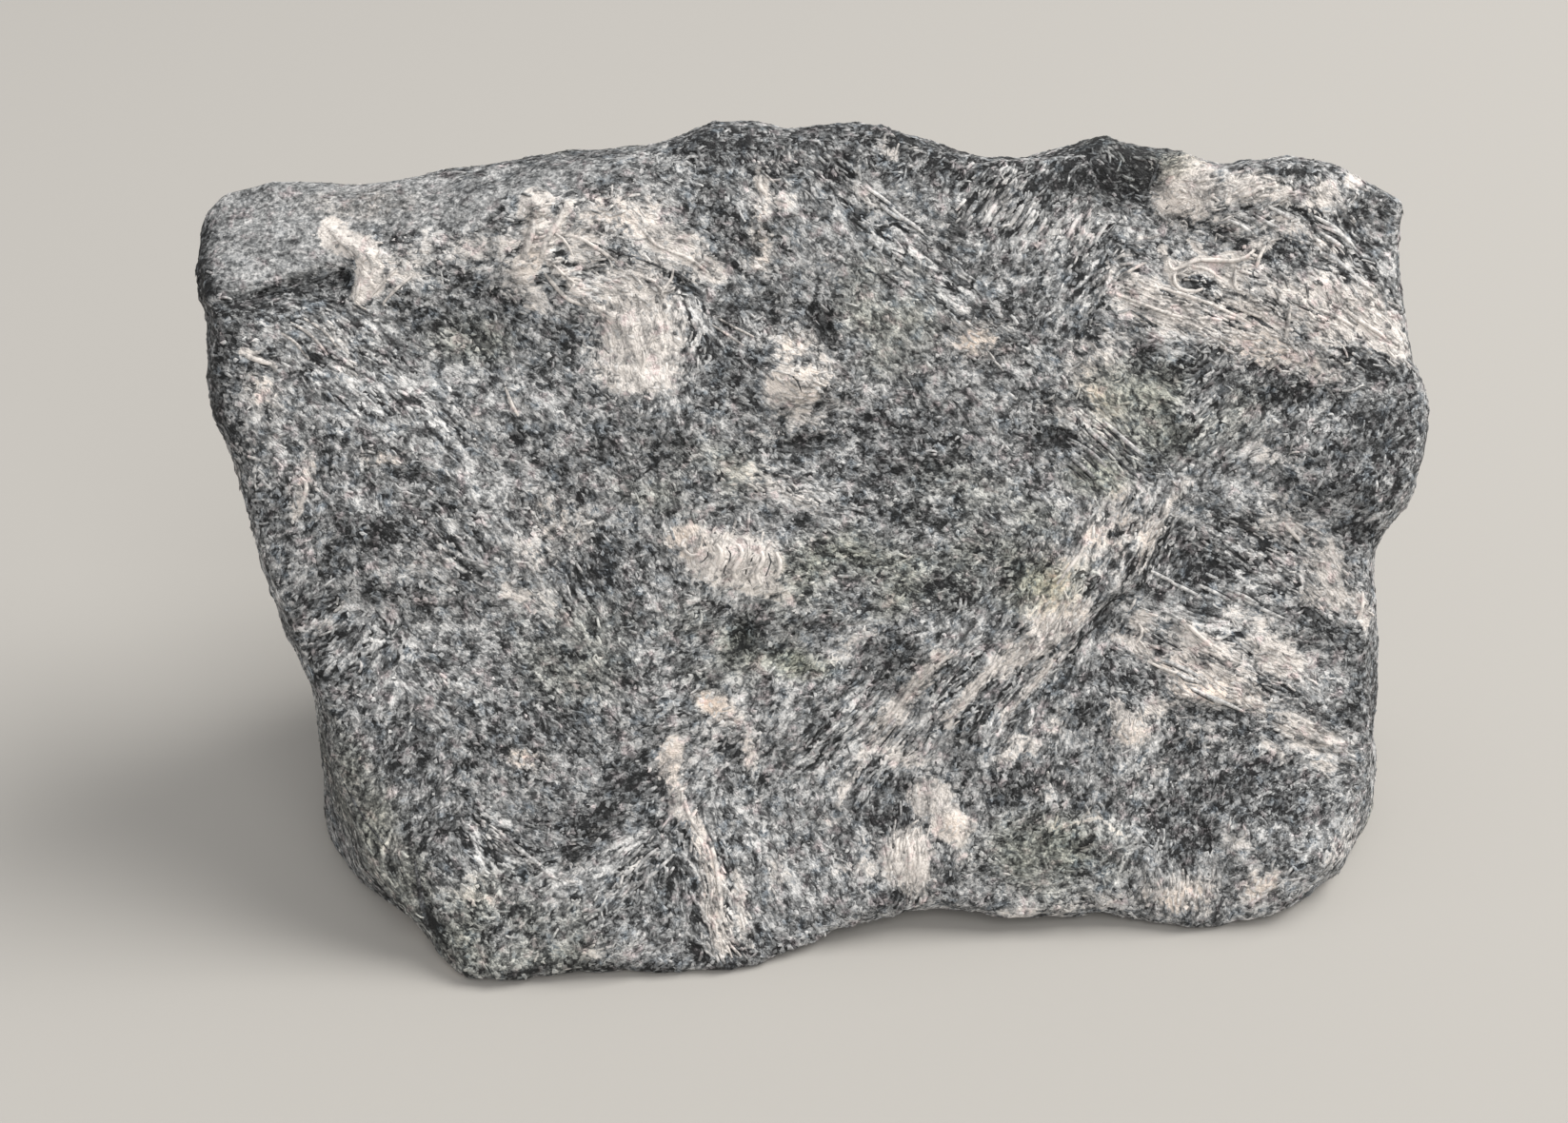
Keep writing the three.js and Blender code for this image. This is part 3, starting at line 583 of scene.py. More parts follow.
def patches_behind(points):
    """The masks of the sides the camera doesn't see, streaky along one direction."""
    mm = points / MM
    tilt = math.radians(FLOW_ELSEWHERE)
    along = mm[:, 0] * math.cos(tilt) - mm[:, 2] * math.sin(tilt)
    across = mm[:, 0] * math.sin(tilt) + mm[:, 2] * math.cos(tilt)
    drawn = np.stack([along * 0.55, across * 1.5, mm[:, 1]], axis=1) + 2.2 * noise3(mm / 5, 41)
    broad = waves(drawn, (1, 17, 11), (0.7, 8, 12), (0.5, 3.5, 13))
    shade = waves(drawn, (1, 12, 14), (0.6, 5, 15))
    pale = np.clip(1.6 * (broad - 0.24), 0, 1)
    return {
        "pale": pale,
        "dark": np.clip(1.5 * (shade - 0.15), 0, 0.9),
        "warm": np.clip(waves(mm, (1.4, 10, 16)), 0, 0.7),
        "olive": np.clip(waves(mm, (1.4, 14, 17)), 0, 0.7) * (1 - pale),
        "calm": 0,
        "strand": STRAND_BEHIND,
    }


def add_mesh(name, points, faces, smooth=True):
    mesh = bpy.data.meshes.new(name)
    mesh.vertices.add(len(points))
    mesh.vertices.foreach_set("co", points.reshape(-1))
    mesh.loops.add(faces.size)
    mesh.loops.foreach_set("vertex_index", faces.reshape(-1).astype(np.int32))
    mesh.polygons.add(len(faces))
    mesh.polygons.foreach_set("loop_start", np.arange(0, faces.size, 3, dtype=np.int32))
    mesh.update(calc_edges=True)
    if smooth:
        mesh.shade_smooth()
    else:
        mesh.shade_flat()
    return add_object(name, mesh)


def add_values(piece, kind, domain, named):
    """Gives the mesh of a piece attributes that its material reads."""
    for name, values in named.items():
        attribute = piece.data.attributes.new(name, kind, domain)
        field = "vector" if kind == "FLOAT_VECTOR" else "value"
        attribute.data.foreach_set(field, values.reshape(-1).astype(np.float32))


def outline_shift(x, y):
    """Small moves that bring the outline to its true place, in metres."""
    shift = np.zeros((len(x), 3))
    for spot in OUTLINE_SHIFTS:
        weight = np.exp(-spot_distance(x, y, spot) ** 2)[:, None]
        shift += weight * (np.array(spot[5:]) @ SHIFT_WAYS)
    return shift * MM


FACING = (-0.12, 0.06)  # how squarely a point faces the camera to count as unseen, seen
RAGGED = [(5, 1.7), (4, 0.75)]  # pixels that a patch's edge strays, over how many mm
RAGGED_SEEDS = (31, 33)  # for x and y
DOMAIN_SEED = 7
CALM_EDGE = (0.3, 0.7)
STRAND_BEHIND = 0.3
LEAST_HEIGHT = 0.01 * MM  # of what doesn't rest on the floor
FIBRES_FROM = 1 * MM  # height above which fibres and wisps start


def build_rock():
    """The rock's own surface, and the fibres, wisps and grains on it."""
    points, faces = triangles_of(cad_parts[NODE].data)
    for rounds in ROUNDS:
        points, faces = refine(points, faces)
        points = rounded(points, faces, rounds)
    normals = normals_of(points, faces)
    x, y = picture_place(points)
    seen = smoothstep(*FACING, facing_eye(points, normals))
    flow = flow_of(x, y)
    ragged = [
        start + waves(points / MM, *((*wave, seed + k) for k, wave in enumerate(RAGGED)))
        for start, seed in zip((x, y), RAGGED_SEEDS)
    ]
    resting = points[:, 2] < FLOOR_BAND
    points = points + outline_shift(x, y) * ~resting[:, None]
    lift = rock_relief(points, x, y, seen, flow) * ~resting
    points = points + normals * lift[:, None]
    points[:, 2] = np.where(resting, 0, np.maximum(points[:, 2], LEAST_HEIGHT))

    in_view = {
        "pale": mask_of(*ragged, PALE_SPOTS, PALE_VEINS),
        # The dark mask holds painted shade as well as dark mineral.
        "dark": mask_of(*ragged, DARK_AND_SHADE_SPOTS),
        "warm": mask_of(x, y, WARM_SPOTS),
        "olive": mask_of(x, y, OLIVE_SPOTS),
        "calm": smoothstep(*CALM_EDGE, mask_of(*ragged, CALM_SPOTS)),
        "strand": mask_of(x, y, STRAND_SPOTS),
    }
    behind = patches_behind(points)
    masks = {name: seen * mask + (1 - seen) * behind[name] for name, mask in in_view.items()}

    turn, shift, own = grain_domains(points, faces, seen, flow)
    rock = add_mesh("rock", points, faces)
    add_values(rock, "FLOAT", "POINT", masks)
    add_values(rock, "FLOAT", "FACE", {"turn": turn, "own": own})
    add_values(rock, "FLOAT_VECTOR", "FACE", {"shift": shift})

    surface = Surface(points, faces, normals_of(points, faces))
    place = (points[:, 2] > FIBRES_FROM) * (0.1 + seen)
    along = masks["strand"] * (0.4 + 0.6 * masks["pale"]) * place
    elsewhere = (1.1 - np.clip(masks["strand"], 0, 1)) * (1 - 0.92 * masks["calm"]) * place
    fibres = build_fibres(surface, flow, masks, along, **FIBRES)
    wisps = build_fibres(surface, flow, masks, elsewhere, **WISPS)
    grains = build_grains(surface, faces, flow, masks, seen)
    built = {"fibres": fibres, "wisps": wisps, "grains": grains}
    return rock, *(add_chips(name, *parts) for name, parts in built.items())


# ---- Fibres ------------------------------------------------------------------------

# Pale fibres that stand out: points, radius in pixels and tone.
DRAWN_FIBRES = [
    ([(1223, 260), (1230, 282), (1240, 281), (1256, 274), (1276, 273), (1301, 273), (1319, 262),
        (1329, 246)], 2.3, 1.05), ([(1333, 251), (1323, 269), (1319, 284)], 2, 1),
    ([(1241, 281), (1233, 290), (1238, 303), (1256, 306), (1270, 300)], 2, 0.9),
    ([(1244, 279), (1267, 283), (1288, 297)], 1.8, 1),
    ([(1163, 298), (1190, 283), (1210, 273)], 1.6, 0.7),
    ([(1158, 304), (1198, 319), (1232, 331), (1268, 338)], 1.7, 0.8),
    ([(1186, 296), (1225, 304), (1267, 318), (1296, 331), (1334, 349)], 1.8, 0.95),
    ([(1284, 318), (1309, 327), (1337, 339)], 1.5, 1),
    ([(1367, 318), (1390, 327), (1413, 338), (1432, 351)], 1.9, 0.85),
    ([(1408, 318), (1425, 335), (1448, 350), (1468, 366)], 2.2, 1),
    ([(1357, 313), (1352, 342), (1350, 366)], 2.2, 0.75),
    ([(1300, 276), (1296, 296), (1304, 312)], 2, 0.7),
    ([(591, 214), (589, 230), (578, 246), (570, 264), (567, 281)], 3.2, 0.85),
    ([(556, 222), (560, 240), (553, 262), (545, 281)], 4, 0.8),
    ([(579, 243), (593, 253), (604, 273)], 1.6, 0.9),
    ([(582, 246), (608, 250), (635, 266), (655, 281)], 1.9, 0.8),
    ([(566, 279), (582, 299), (598, 315), (621, 323)], 2.2, 0.75),
    ([(575, 272), (594, 290), (606, 298)], 1.5, 0.95),
    ([(708, 275), (705, 294), (695, 307), (701, 319)], 1.6, 0.8),
    ([(684, 294), (700, 307), (713, 298)], 1.4, 0.8),
    ([(674, 364), (677, 380), (671, 396)], 1.6, 0.9),
    ([(678, 368), (685, 357), (691, 344)], 1.4, 0.85),
    ([(693, 261), (724, 272), (751, 292)], 1.9, 0.8),
    ([(666, 230), (689, 257), (706, 263)], 1.9, 0.8),
    ([(747, 330), (774, 345), (798, 357)], 1.3, 0.45),
    ([(743, 338), (766, 353), (786, 366)], 1.2, 0.42),
    ([(528, 399), (538, 425), (547, 441)], 1.8, 0.75),
    ([(1244, 654), (1256, 664), (1279, 685)], 2.4, 1),
    ([(1190, 647), (1200, 664), (1190, 680)], 1.8, 0.9),
    ([(1196, 690), (1226, 704), (1256, 712)], 1.6, 0.9),
    ([(1343, 544), (1358, 560), (1374, 577)], 2, 0.95),
    ([(1432, 616), (1430, 638), (1424, 656)], 1.9, 1),
    ([(310, 498), (322, 508), (318, 526), (310, 540)], 2.2, 0.9),
    ([(343, 240), (354, 250), (366, 262), (374, 274)], 1.8, 0.7),
    ([(382, 262), (391, 280), (387, 300)], 2, 0.75),
    ([(378, 290), (376, 306), (371, 320)], 1.6, 0.8),
    ([(725, 562), (716, 572), (726, 584), (742, 580)], 2.2, 0.8),
    ([(748, 566), (758, 582), (750, 598)], 2.2, 1.15),
    ([(770, 566), (780, 582), (770, 600), (780, 616)], 2.4, 1.2),
    ([(792, 570), (802, 586), (794, 602), (802, 620)], 2.4, 1.2),
    ([(812, 576), (820, 592), (814, 612)], 2.2, 1.1),
    ([(740, 868), (750, 900), (756, 940), (760, 984)], 2.4, 0.8),
    ([(716, 830), (724, 858), (740, 884)], 2.2, 0.8),
    ([(950, 872), (956, 900), (952, 934)], 2.2, 0.85),
    ([(964, 880), (966, 904), (962, 930)], 1.8, 0.9),
    ([(800, 180), (798, 196), (808, 206)], 2.2, 0.9), (UPPER_STRAND, 2.2, 0.75),
    (LOWER_STRAND, 1.8, 0.7), ([(975, 699), (948, 735), (921, 772)], 2.4, 0.75),
    ([(1150, 560), (1128, 590), (1104, 622)], 2, 0.7),
    ([(300, 336), (326, 352), (350, 380)], 1.6, 0.5),
    ([(312, 330), (340, 348), (362, 374)], 1.6, 0.52),
    ([(290, 346), (312, 362), (332, 388)], 1.6, 0.48),
    ([(252, 371), (270, 378), (290, 384)], 2.8, 0.9),
    ([(385, 318), (402, 296), (424, 276)], 1.6, 0.65),
    ([(396, 326), (416, 304), (440, 284)], 1.6, 0.65),
    ([(1330, 190), (1312, 204), (1290, 206)], 2.6, 0.85),
]

# Thin dark tubes along the slits and creases and under the ledges, painted shade where light
# doesn't reach: points and radius in pixels.
SHADE_SLITS = [
    ([(1270, 313), (1300, 327), (1337, 345)], 3.8), ([(1266, 328), (1290, 340), (1322, 352)], 2.4),
    ([(1214, 304), (1232, 311)], 2.6), ([(1188, 326), (1204, 336), (1216, 346)], 2.2),
    ([(1243, 288), (1256, 296), (1270, 292)], 3.4), ([(1364, 322), (1384, 330), (1400, 342)], 2),
    ([(228, 319), (262, 313), (300, 304), (335, 293), (352, 285)], 2.6),
    ([(516, 234), (534, 232), (553, 231)], 2.6), ([(1134, 672), (1146, 660), (1163, 645)], 5),
    ([(800, 468), (826, 474), (858, 472), (886, 462)], 3.2),
    ([(856, 322), (866, 340), (869, 364)], 5),
    ([(436, 905), (442, 940), (449, 975), (460, 1004)], 4),
    ([(352, 806), (380, 856), (410, 896)], 1.8), ([(1294, 553), (1316, 557), (1340, 563)], 3.2),
    ([(1366, 640), (1376, 644), (1386, 650)], 5), ([(1204, 667), (1222, 673), (1242, 684)], 1.8),
    ([(1256, 690), (1270, 694), (1288, 700)], 1.8), ([(1328, 719), (1340, 722), (1354, 727)], 3.6),
    ([(618, 880), (634, 874), (652, 867)], 4),
    ([(600, 247), (640, 262), (690, 279), (737, 306)], 1.8),
    ([(706, 297), (720, 303), (738, 313)], 2.4), ([(700, 284), (722, 291), (744, 302)], 1.6),
    ([(1350, 266), (1372, 276), (1396, 284), (1430, 286), (1456, 292)], 2.2),
    ([(1020, 690), (1000, 716), (984, 736)], 3), ([(1090, 700), (1066, 730), (1046, 752)], 2.6),
    ([(938, 690), (926, 708), (910, 724)], 3), ([(735, 905), (742, 930), (744, 958)], 2.6),
    ([(560, 288), (576, 296), (590, 310)], 2), ([(700, 470), (690, 486), (676, 498)], 2.2),
    ([(1112, 452), (1118, 466)], 6), ([(1000, 420), (1012, 432), (1020, 450)], 2.4),
    ([(1220, 160), (1214, 180), (1206, 200)], 3),
    ([(758, 568), (768, 584), (760, 600), (768, 612)], 1.1),
    ([(782, 568), (791, 584), (783, 600), (790, 616)], 1.1),
    ([(803, 574), (810, 590), (804, 606), (808, 618)], 1.1),
    ([(738, 566), (744, 582), (736, 592)], 1.1), ([(1150, 440), (1176, 462), (1200, 482)], 2),
    ([(1176, 440), (1204, 464), (1228, 486)], 2), ([(1164, 474), (1186, 494), (1206, 510)], 1.8),
    ([(824, 392), (836, 398), (842, 412)], 1.4),
]

# Rows of strands side by side: x, y, step to the next in x and y, count, length, turn
# in degrees, radius and tone.
COMBS = [
    (1012, 236, 15, 3, 10, 34, 57, 2.3, 0.85), (905, 192, 12, 12, 4, 46, -36, 2, 0.85),
    (1152, 436, -10, 14, 4, 62, -41, 2.2, 0.7), (1372, 222, 4, 12, 5, 52, -31, 2.2, 0.85),
    (890, 778, 14, 3, 5, 44, 50, 2.2, 0.75), (1206, 600, 24, 6, 5, 50, -26, 2, 0.8),
    (1212, 690, 14, 12, 4, 60, -24, 2, 0.9), (520, 872, 12, 10, 4, 44, -36, 1.8, 0.7),
    (640, 905, 12, 8, 4, 40, 44, 1.8, 0.65), (1280, 228, 16, -4, 4, 34, -28, 2, 0.85),
]
COMB_SEED = 31
COMB_STRAY, COMB_BOW = 2.5, 2  # pixels
COMB_LENGTHS, COMB_TONES = (0.7, 1.25), (0.8, 1.2)  # shares of the row's own
COMB_DARKER, COMB_CREAM = 0.25, 0.2
GAP_LENGTH, GAP_RADIUS = 0.8, 0.7  # shares of the strand's own

DRAWN_RISE = 0.06 * MM
FIBRE_PX = 0.0965 * MM  # radius of a drawn fibre for each pixel in the table
SLIT_PX = 0.0715 * MM
# The slits' dark tone is painted shade.
SLIT_FLATNESS, SLIT_SHADE_TONE = 0.3, -0.35
FIBRE_FLATNESS = 0.7  # height over width
FIBRE_SIDES = 4
FIBRE_PARTS = 5
FIBRE_STEP = 0.26 * MM  # length of a part
FIBRE_LENGTHS = (0.5, 1.35)  # shares of that
FIBRE_RADII = (0.09, 0.17)  # millimetres
FIBRE_LOWEST = 0.4 * MM
FIBRE_SUNK = 0.8  # of its radius, at the ends
FIBRE_RISES = (-0.25, 0.35)  # of its radius, in the middle
FIBRE_TONE, FIBRE_PALER, FIBRE_VARIES = 0.22, 0.42, 0.2
FIBRE_STEEP = 0.2  # a fibre ends where its way points into the surface more than this
CURVE_STEP_PX, CURVE_LEAST = 6, 6  # length of a drawn line's parts, and least number

# Loose fibres: how many, how much darker where the dark mask lies (dark ground and painted shade),
# how far their direction and their bend vary in radians, the seed, and whether the drawn lines
# above come with them.
FIBRES = dict(count=3600, darker=0.0, turning=0.2, bending=0.06, seed=19, drawn=True)
WISPS = dict(count=3000, darker=0.3, turning=0.55, bending=0.16, seed=29, drawn=False)


def comb_lines(random):
    """Corners, radius and tone of every strand of the combs, and of the dark gaps between them,
    painted shade between the strands.
    """
    strands, shade_gaps = [], []
    for x, y, step_x, step_y, count, length, turn, radius, tone in COMBS:
        way = np.array([math.cos(math.radians(turn)), -math.sin(math.radians(turn))])
        for number in range(count):
            start = np.array([x + step_x * number, y + step_y * number])
            start = start + random.normal(0, COMB_STRAY, 2)
            reach = way * length * random.uniform(*COMB_LENGTHS)
            bow = random.normal(0, COMB_BOW, 2)
            own = tone * random.uniform(*COMB_TONES)
            strands.append(([start, start + reach / 2 + bow, start + reach], radius, own))
            start = start + (step_x / 2, step_y / 2)
            reach = reach * GAP_LENGTH
            shade_gaps.append(([start, start + reach / 2 + bow, start + reach], radius * GAP_RADIUS))
    return strands, shade_gaps


class Surface:
    """The rock's surface, to walk and draw on."""

    def __init__(self, points, faces, normals):
        self.points, self.normals = points, normals
        self.tree = tree_of(points)
        self.solid = BVHTree.FromPolygons(points.tolist(), faces.tolist())

    def settle(self, place):
        """The nearest point of the surface, and the normal there."""
        number = self.tree.find(place)[1]
        normal = self.normals[number]
        return place - normal * np.dot(place - self.points[number], normal), normal

    def seen_at(self, x, y):
        """The point of the surface behind a pixel, and the normal there."""
        ray = FORWARD + RIGHT * (x - IMAGE_WIDTH / 2) / FOCAL_PX
        ray = ray - UPWARD * (y - IMAGE_HEIGHT / 2) / FOCAL_PX
        hit = self.solid.ray_cast(EYE.tolist(), ray.tolist())[0]
        return None if hit is None else self.settle(np.array(hit))

    def line_seen(self, corners):
        """The curve through the pixels, laid on the surface, and its normals."""
        length = sum(math.dist(a, b) for a, b in zip(corners, corners[1:]))
        steps = max(CURVE_LEAST, int(length / CURVE_STEP_PX))
        found = [self.seen_at(*place) for place in smooth_line(corners, steps)]
        places, normals = zip(*(pair for pair in found if pair is not None))
        return np.array(places), np.array(normals)


def smooth_line(corners, steps):
    """Points spaced along a curve through the corners."""
    corners = np.array(corners, dtype=float)
    before, after = 2 * corners[0] - corners[1], 2 * corners[-1] - corners[-2]
    full = np.concatenate([[before], corners, [after]])
    line = []
    for t in np.linspace(0, len(corners) - 1 - 1e-6, steps):
        k, f = int(t), t - int(t)
        a, b, c, d = full[k:k + 4]
        square, cube = 2 * a - 5 * b + 4 * c - d, 3 * b - a - 3 * c + d
        line.append(0.5 * (2 * b + (c - a) * f + square * f**2 + cube * f**3))
    return np.array(line)


def tube(centres, normals, radius, flatness, points, faces):
    """Adds a closed tube that tapers to both ends, and returns its number of points."""
    base, rings = len(points), len(centres)
    ahead = unit(np.gradient(centres, axis=0))
    side = unit(np.cross(ahead, normals))
    up = np.cross(side, ahead)
    thick = radius * (0.25 + 0.75 * np.sin(math.pi * np.linspace(0, 1, rings)) ** 0.6)
    for k, centre in enumerate(centres):
        for n in range(FIBRE_SIDES):
            turn = 2 * math.pi * (n + 0.5) / FIBRE_SIDES
            offset = side[k] * math.cos(turn) + up[k] * math.sin(turn) * flatness
            points.append(centre + offset * thick[k])
    points.append(centres[0] - ahead[0] * thick[0])
    points.append(centres[-1] + ahead[-1] * thick[-1])
    pairs = [(n, (n + 1) % FIBRE_SIDES) for n in range(FIBRE_SIDES)]
    end = base + rings * FIBRE_SIDES
    last = end - FIBRE_SIDES
    for ring in range(base, last, FIBRE_SIDES):
        for n, m in pairs:
            a, b, c, d = ring + n, ring + m, ring + m + FIBRE_SIDES, ring + n + FIBRE_SIDES
            faces.extend([(a, b, c), (a, c, d)])
    for n, m in pairs:
        faces.extend([(base + m, base + n, end), (last + n, last + m, end + 1)])
    return len(points) - base


def build_fibres(surface, flow, masks, weight, count, darker, turning, bending, seed, drawn):
    """Many short fibres laid roughly along the grain, with the drawn ones if wanted."""
    random = np.random.default_rng(seed)
    points, faces, values = [], [], []

    def lay(line, normals, radius, rise, value):
        arch = np.sin(math.pi * np.linspace(0, 1, len(line)))
        lift = arch**0.7 * rise - (1 - arch) * radius * FIBRE_SUNK
        line = line + normals * lift[:, None]
        values.extend([value] * tube(line, normals, radius, FIBRE_FLATNESS, points, faces))

    if drawn:
        strands, shade_gaps = comb_lines(np.random.default_rng(COMB_SEED))
        for corners, radius, own in DRAWN_FIBRES:
            lay(*surface.line_seen(corners), radius * FIBRE_PX, DRAWN_RISE, (own, 1, 0, 0))
        for corners, radius, own in strands:
            value = (own - COMB_DARKER, COMB_CREAM, 0, 0)
            lay(*surface.line_seen(corners), radius * FIBRE_PX, DRAWN_RISE, value)
        # The slits and the gaps between comb strands are dark tubes of painted shade.
        for corners, radius in SHADE_SLITS + shade_gaps:
            line, normals = surface.line_seen(corners)
            added = tube(line, normals, radius * SLIT_PX, SLIT_FLATNESS, points, faces)
            values.extend([(SLIT_SHADE_TONE, 0, 0, 0)] * added)

    for start in random.choice(len(surface.points), count, p=weight / weight.sum()):
        place, normal = surface.points[start], surface.normals[start]
        angle = flow[start] + random.normal(0, turning)
        bend = random.normal(0, bending)
        step = FIBRE_STEP * random.uniform(*FIBRE_LENGTHS)
        line, normals = [], []
        for _ in range(FIBRE_PARTS + 1):
            line.append(place)
            normals.append(normal)
            way = RIGHT * math.cos(angle) + UP_FACE * math.sin(angle)
            way = way - normal * np.dot(way, normal)
            size = np.linalg.norm(way)
            if size < FIBRE_STEEP:
                break
            place, normal = surface.settle(place + way / size * step)
            angle += bend
        if len(line) == FIBRE_PARTS + 1 and min(p[2] for p in line) > FIBRE_LOWEST:
            radius = random.uniform(*FIBRE_RADII) * MM
            pale, dark, olive, calm = (masks[k][start] for k in ("pale", "dark", "olive", "calm"))
            own = FIBRE_TONE + FIBRE_PALER * pale - darker * dark
            own = np.clip(own + random.normal(0, FIBRE_VARIES), 0, 1)
            rise = radius * random.uniform(*FIBRE_RISES)
            lay(np.array(line), np.array(normals), radius, rise, (own, min(pale, 1), olive, calm))
    return np.array(points), np.array(faces), np.array(values).T


def add_chips(name, points, faces, values):
    """A piece of many small closed solids, with the values their material reads."""
    chips = add_mesh(name, points, faces, smooth=name != "grains")
    add_values(chips, "FLOAT", "POINT", dict(zip(("tone", "cream", "olive", "calm"), values)))
    return chips


# ---- Grains ------------------------------------------------------------------------

GRAIN_SEED = 23
GRAIN_COUNT = 23500
GRAIN_LONG = (0.13 * MM, 0.40 * MM)  # half lengths, least and most
GRAIN_SLENDER = (0.34, 0.62)  # width over length
GRAIN_ROUNDER = 0.16  # added to that outside the strands
GRAIN_HIGH = (0.25, 0.45)  # height over width
GRAIN_TURN, GRAIN_LEAN = 0.75, 0.2  # radians
GRAIN_SKEW = 0.45
GRAIN_SUNK = 0.25  # of its height
GRAIN_LOWEST = 0.6 * MM
GRAIN_UNSEEN, GRAIN_CALM = 0.22, 0.4  # how dense they are there, against 1
GRAIN_TONE, GRAIN_STEP, GRAIN_VARIES = 0.48, 0.22, 0.105  # STEP up on pale, down on dark
GRAIN_TOP = [(0, 2, 4), (2, 1, 4), (1, 3, 4), (3, 0, 4)]
GRAIN_FACES = GRAIN_TOP + [(b, a, 5) for a, b, _ in GRAIN_TOP]


def build_grains(surface, faces, flow, masks, seen):
    """Small flat crystals bedded in the surface, each a closed chip with eight faces."""
    random = np.random.default_rng(GRAIN_SEED)
    corners = surface.points[faces]
    across = np.cross(corners[:, 1] - corners[:, 0], corners[:, 2] - corners[:, 0])
    first = faces[:, 0]
    weight = np.linalg.norm(across, axis=1)
    weight = weight * (GRAIN_UNSEEN + (1 - GRAIN_UNSEEN) * seen[first])
    weight = weight * (1 - (1 - GRAIN_CALM) * masks["calm"][first])
    weight = weight * (corners[:, 0, 2] > GRAIN_LOWEST)
    picks = random.choice(len(faces), GRAIN_COUNT, p=weight / weight.sum())
    share = random.dirichlet((1, 1, 1), GRAIN_COUNT)
    place = (corners[picks] * share[:, :, None]).sum(axis=1)
    at = first[picks]

    normal = surface.normals[at]
    loose = 1 - 0.6 * np.clip(masks["strand"][at], 0, 1)
    angle = flow[at] + random.normal(0, GRAIN_TURN, GRAIN_COUNT) * loose
    way = np.cos(angle)[:, None] * RIGHT + np.sin(angle)[:, None] * UP_FACE
    way = unit(way - normal * (way * normal).sum(axis=1, keepdims=True) + 1e-6)
    side = np.cross(normal, way)
    lean = random.normal(0, GRAIN_LEAN, (GRAIN_COUNT, 2))
    normal = unit(normal + way * lean[:, :1] + side * lean[:, 1:])
    way = unit(way - normal * (way * normal).sum(axis=1, keepdims=True))
    side = np.cross(normal, way)

    each = (GRAIN_COUNT, 1)
    long = random.uniform(*GRAIN_LONG, each)
    wide = long * (random.uniform(*GRAIN_SLENDER, each) + GRAIN_ROUNDER * loose[:, None])
    high = wide * random.uniform(*GRAIN_HIGH, each)
    skew = random.uniform(-GRAIN_SKEW, GRAIN_SKEW, (4, *each))
    place = place - normal * high * GRAIN_SUNK
    points = np.stack([
        place - way * long + side * wide * skew[0],
        place + way * long + side * wide * skew[1],
        place + side * wide + way * long * skew[2],
        place - side * wide + way * long * skew[3],
        place + normal * high,
        place - normal * high,
    ], axis=1).reshape(-1, 3)
    first_point = 6 * np.arange(GRAIN_COUNT)[:, None, None]
    faces = (np.array(GRAIN_FACES) + first_point).reshape(-1, 3)

    pale, dark, calm = (masks[name][at] for name in ("pale", "dark", "calm"))
    # Grains are darker on the dark mask, which holds painted shade as well as dark mineral.
    tone = GRAIN_TONE + GRAIN_STEP * (np.clip(pale, 0, 1) - np.clip(dark, 0, 1.6))
    tone += random.normal(0, GRAIN_VARIES, GRAIN_COUNT) * (1 - 0.4 * calm)
    cream = np.clip(pale * random.uniform(0.4, 1.2, GRAIN_COUNT), 0, 1)
    values = np.stack([tone, cream, masks["olive"][at], calm])
    return points, faces, np.repeat(values, 6, axis=1)


# ---- Materials ---------------------------------------------------------------------

# Colours of the stone for tones from 0 to 1, then the tints that multiply them.
TONES = [
    (0, (0.01, 0.0105, 0.011)), (0.12, (0.038, 0.0395, 0.0405)), (0.26, (0.088, 0.0905, 0.0915)),
    (0.4, (0.172, 0.175, 0.1755)), (0.54, (0.293, 0.294, 0.292)), (0.68, (0.44, 0.437, 0.43)),
    (0.82, (0.565, 0.558, 0.545)), (1, (0.67, 0.66, 0.643)),
]
CREAM = (1.035, 0.976, 0.93, 1)
WARM = (1.08, 0.96, 0.86, 1)
OLIVE = (0.975, 1.0, 0.77, 1)
COOL = (0.87, 0.975, 1.085, 1)
MAUVE = (1.06, 0.955, 0.965, 1)


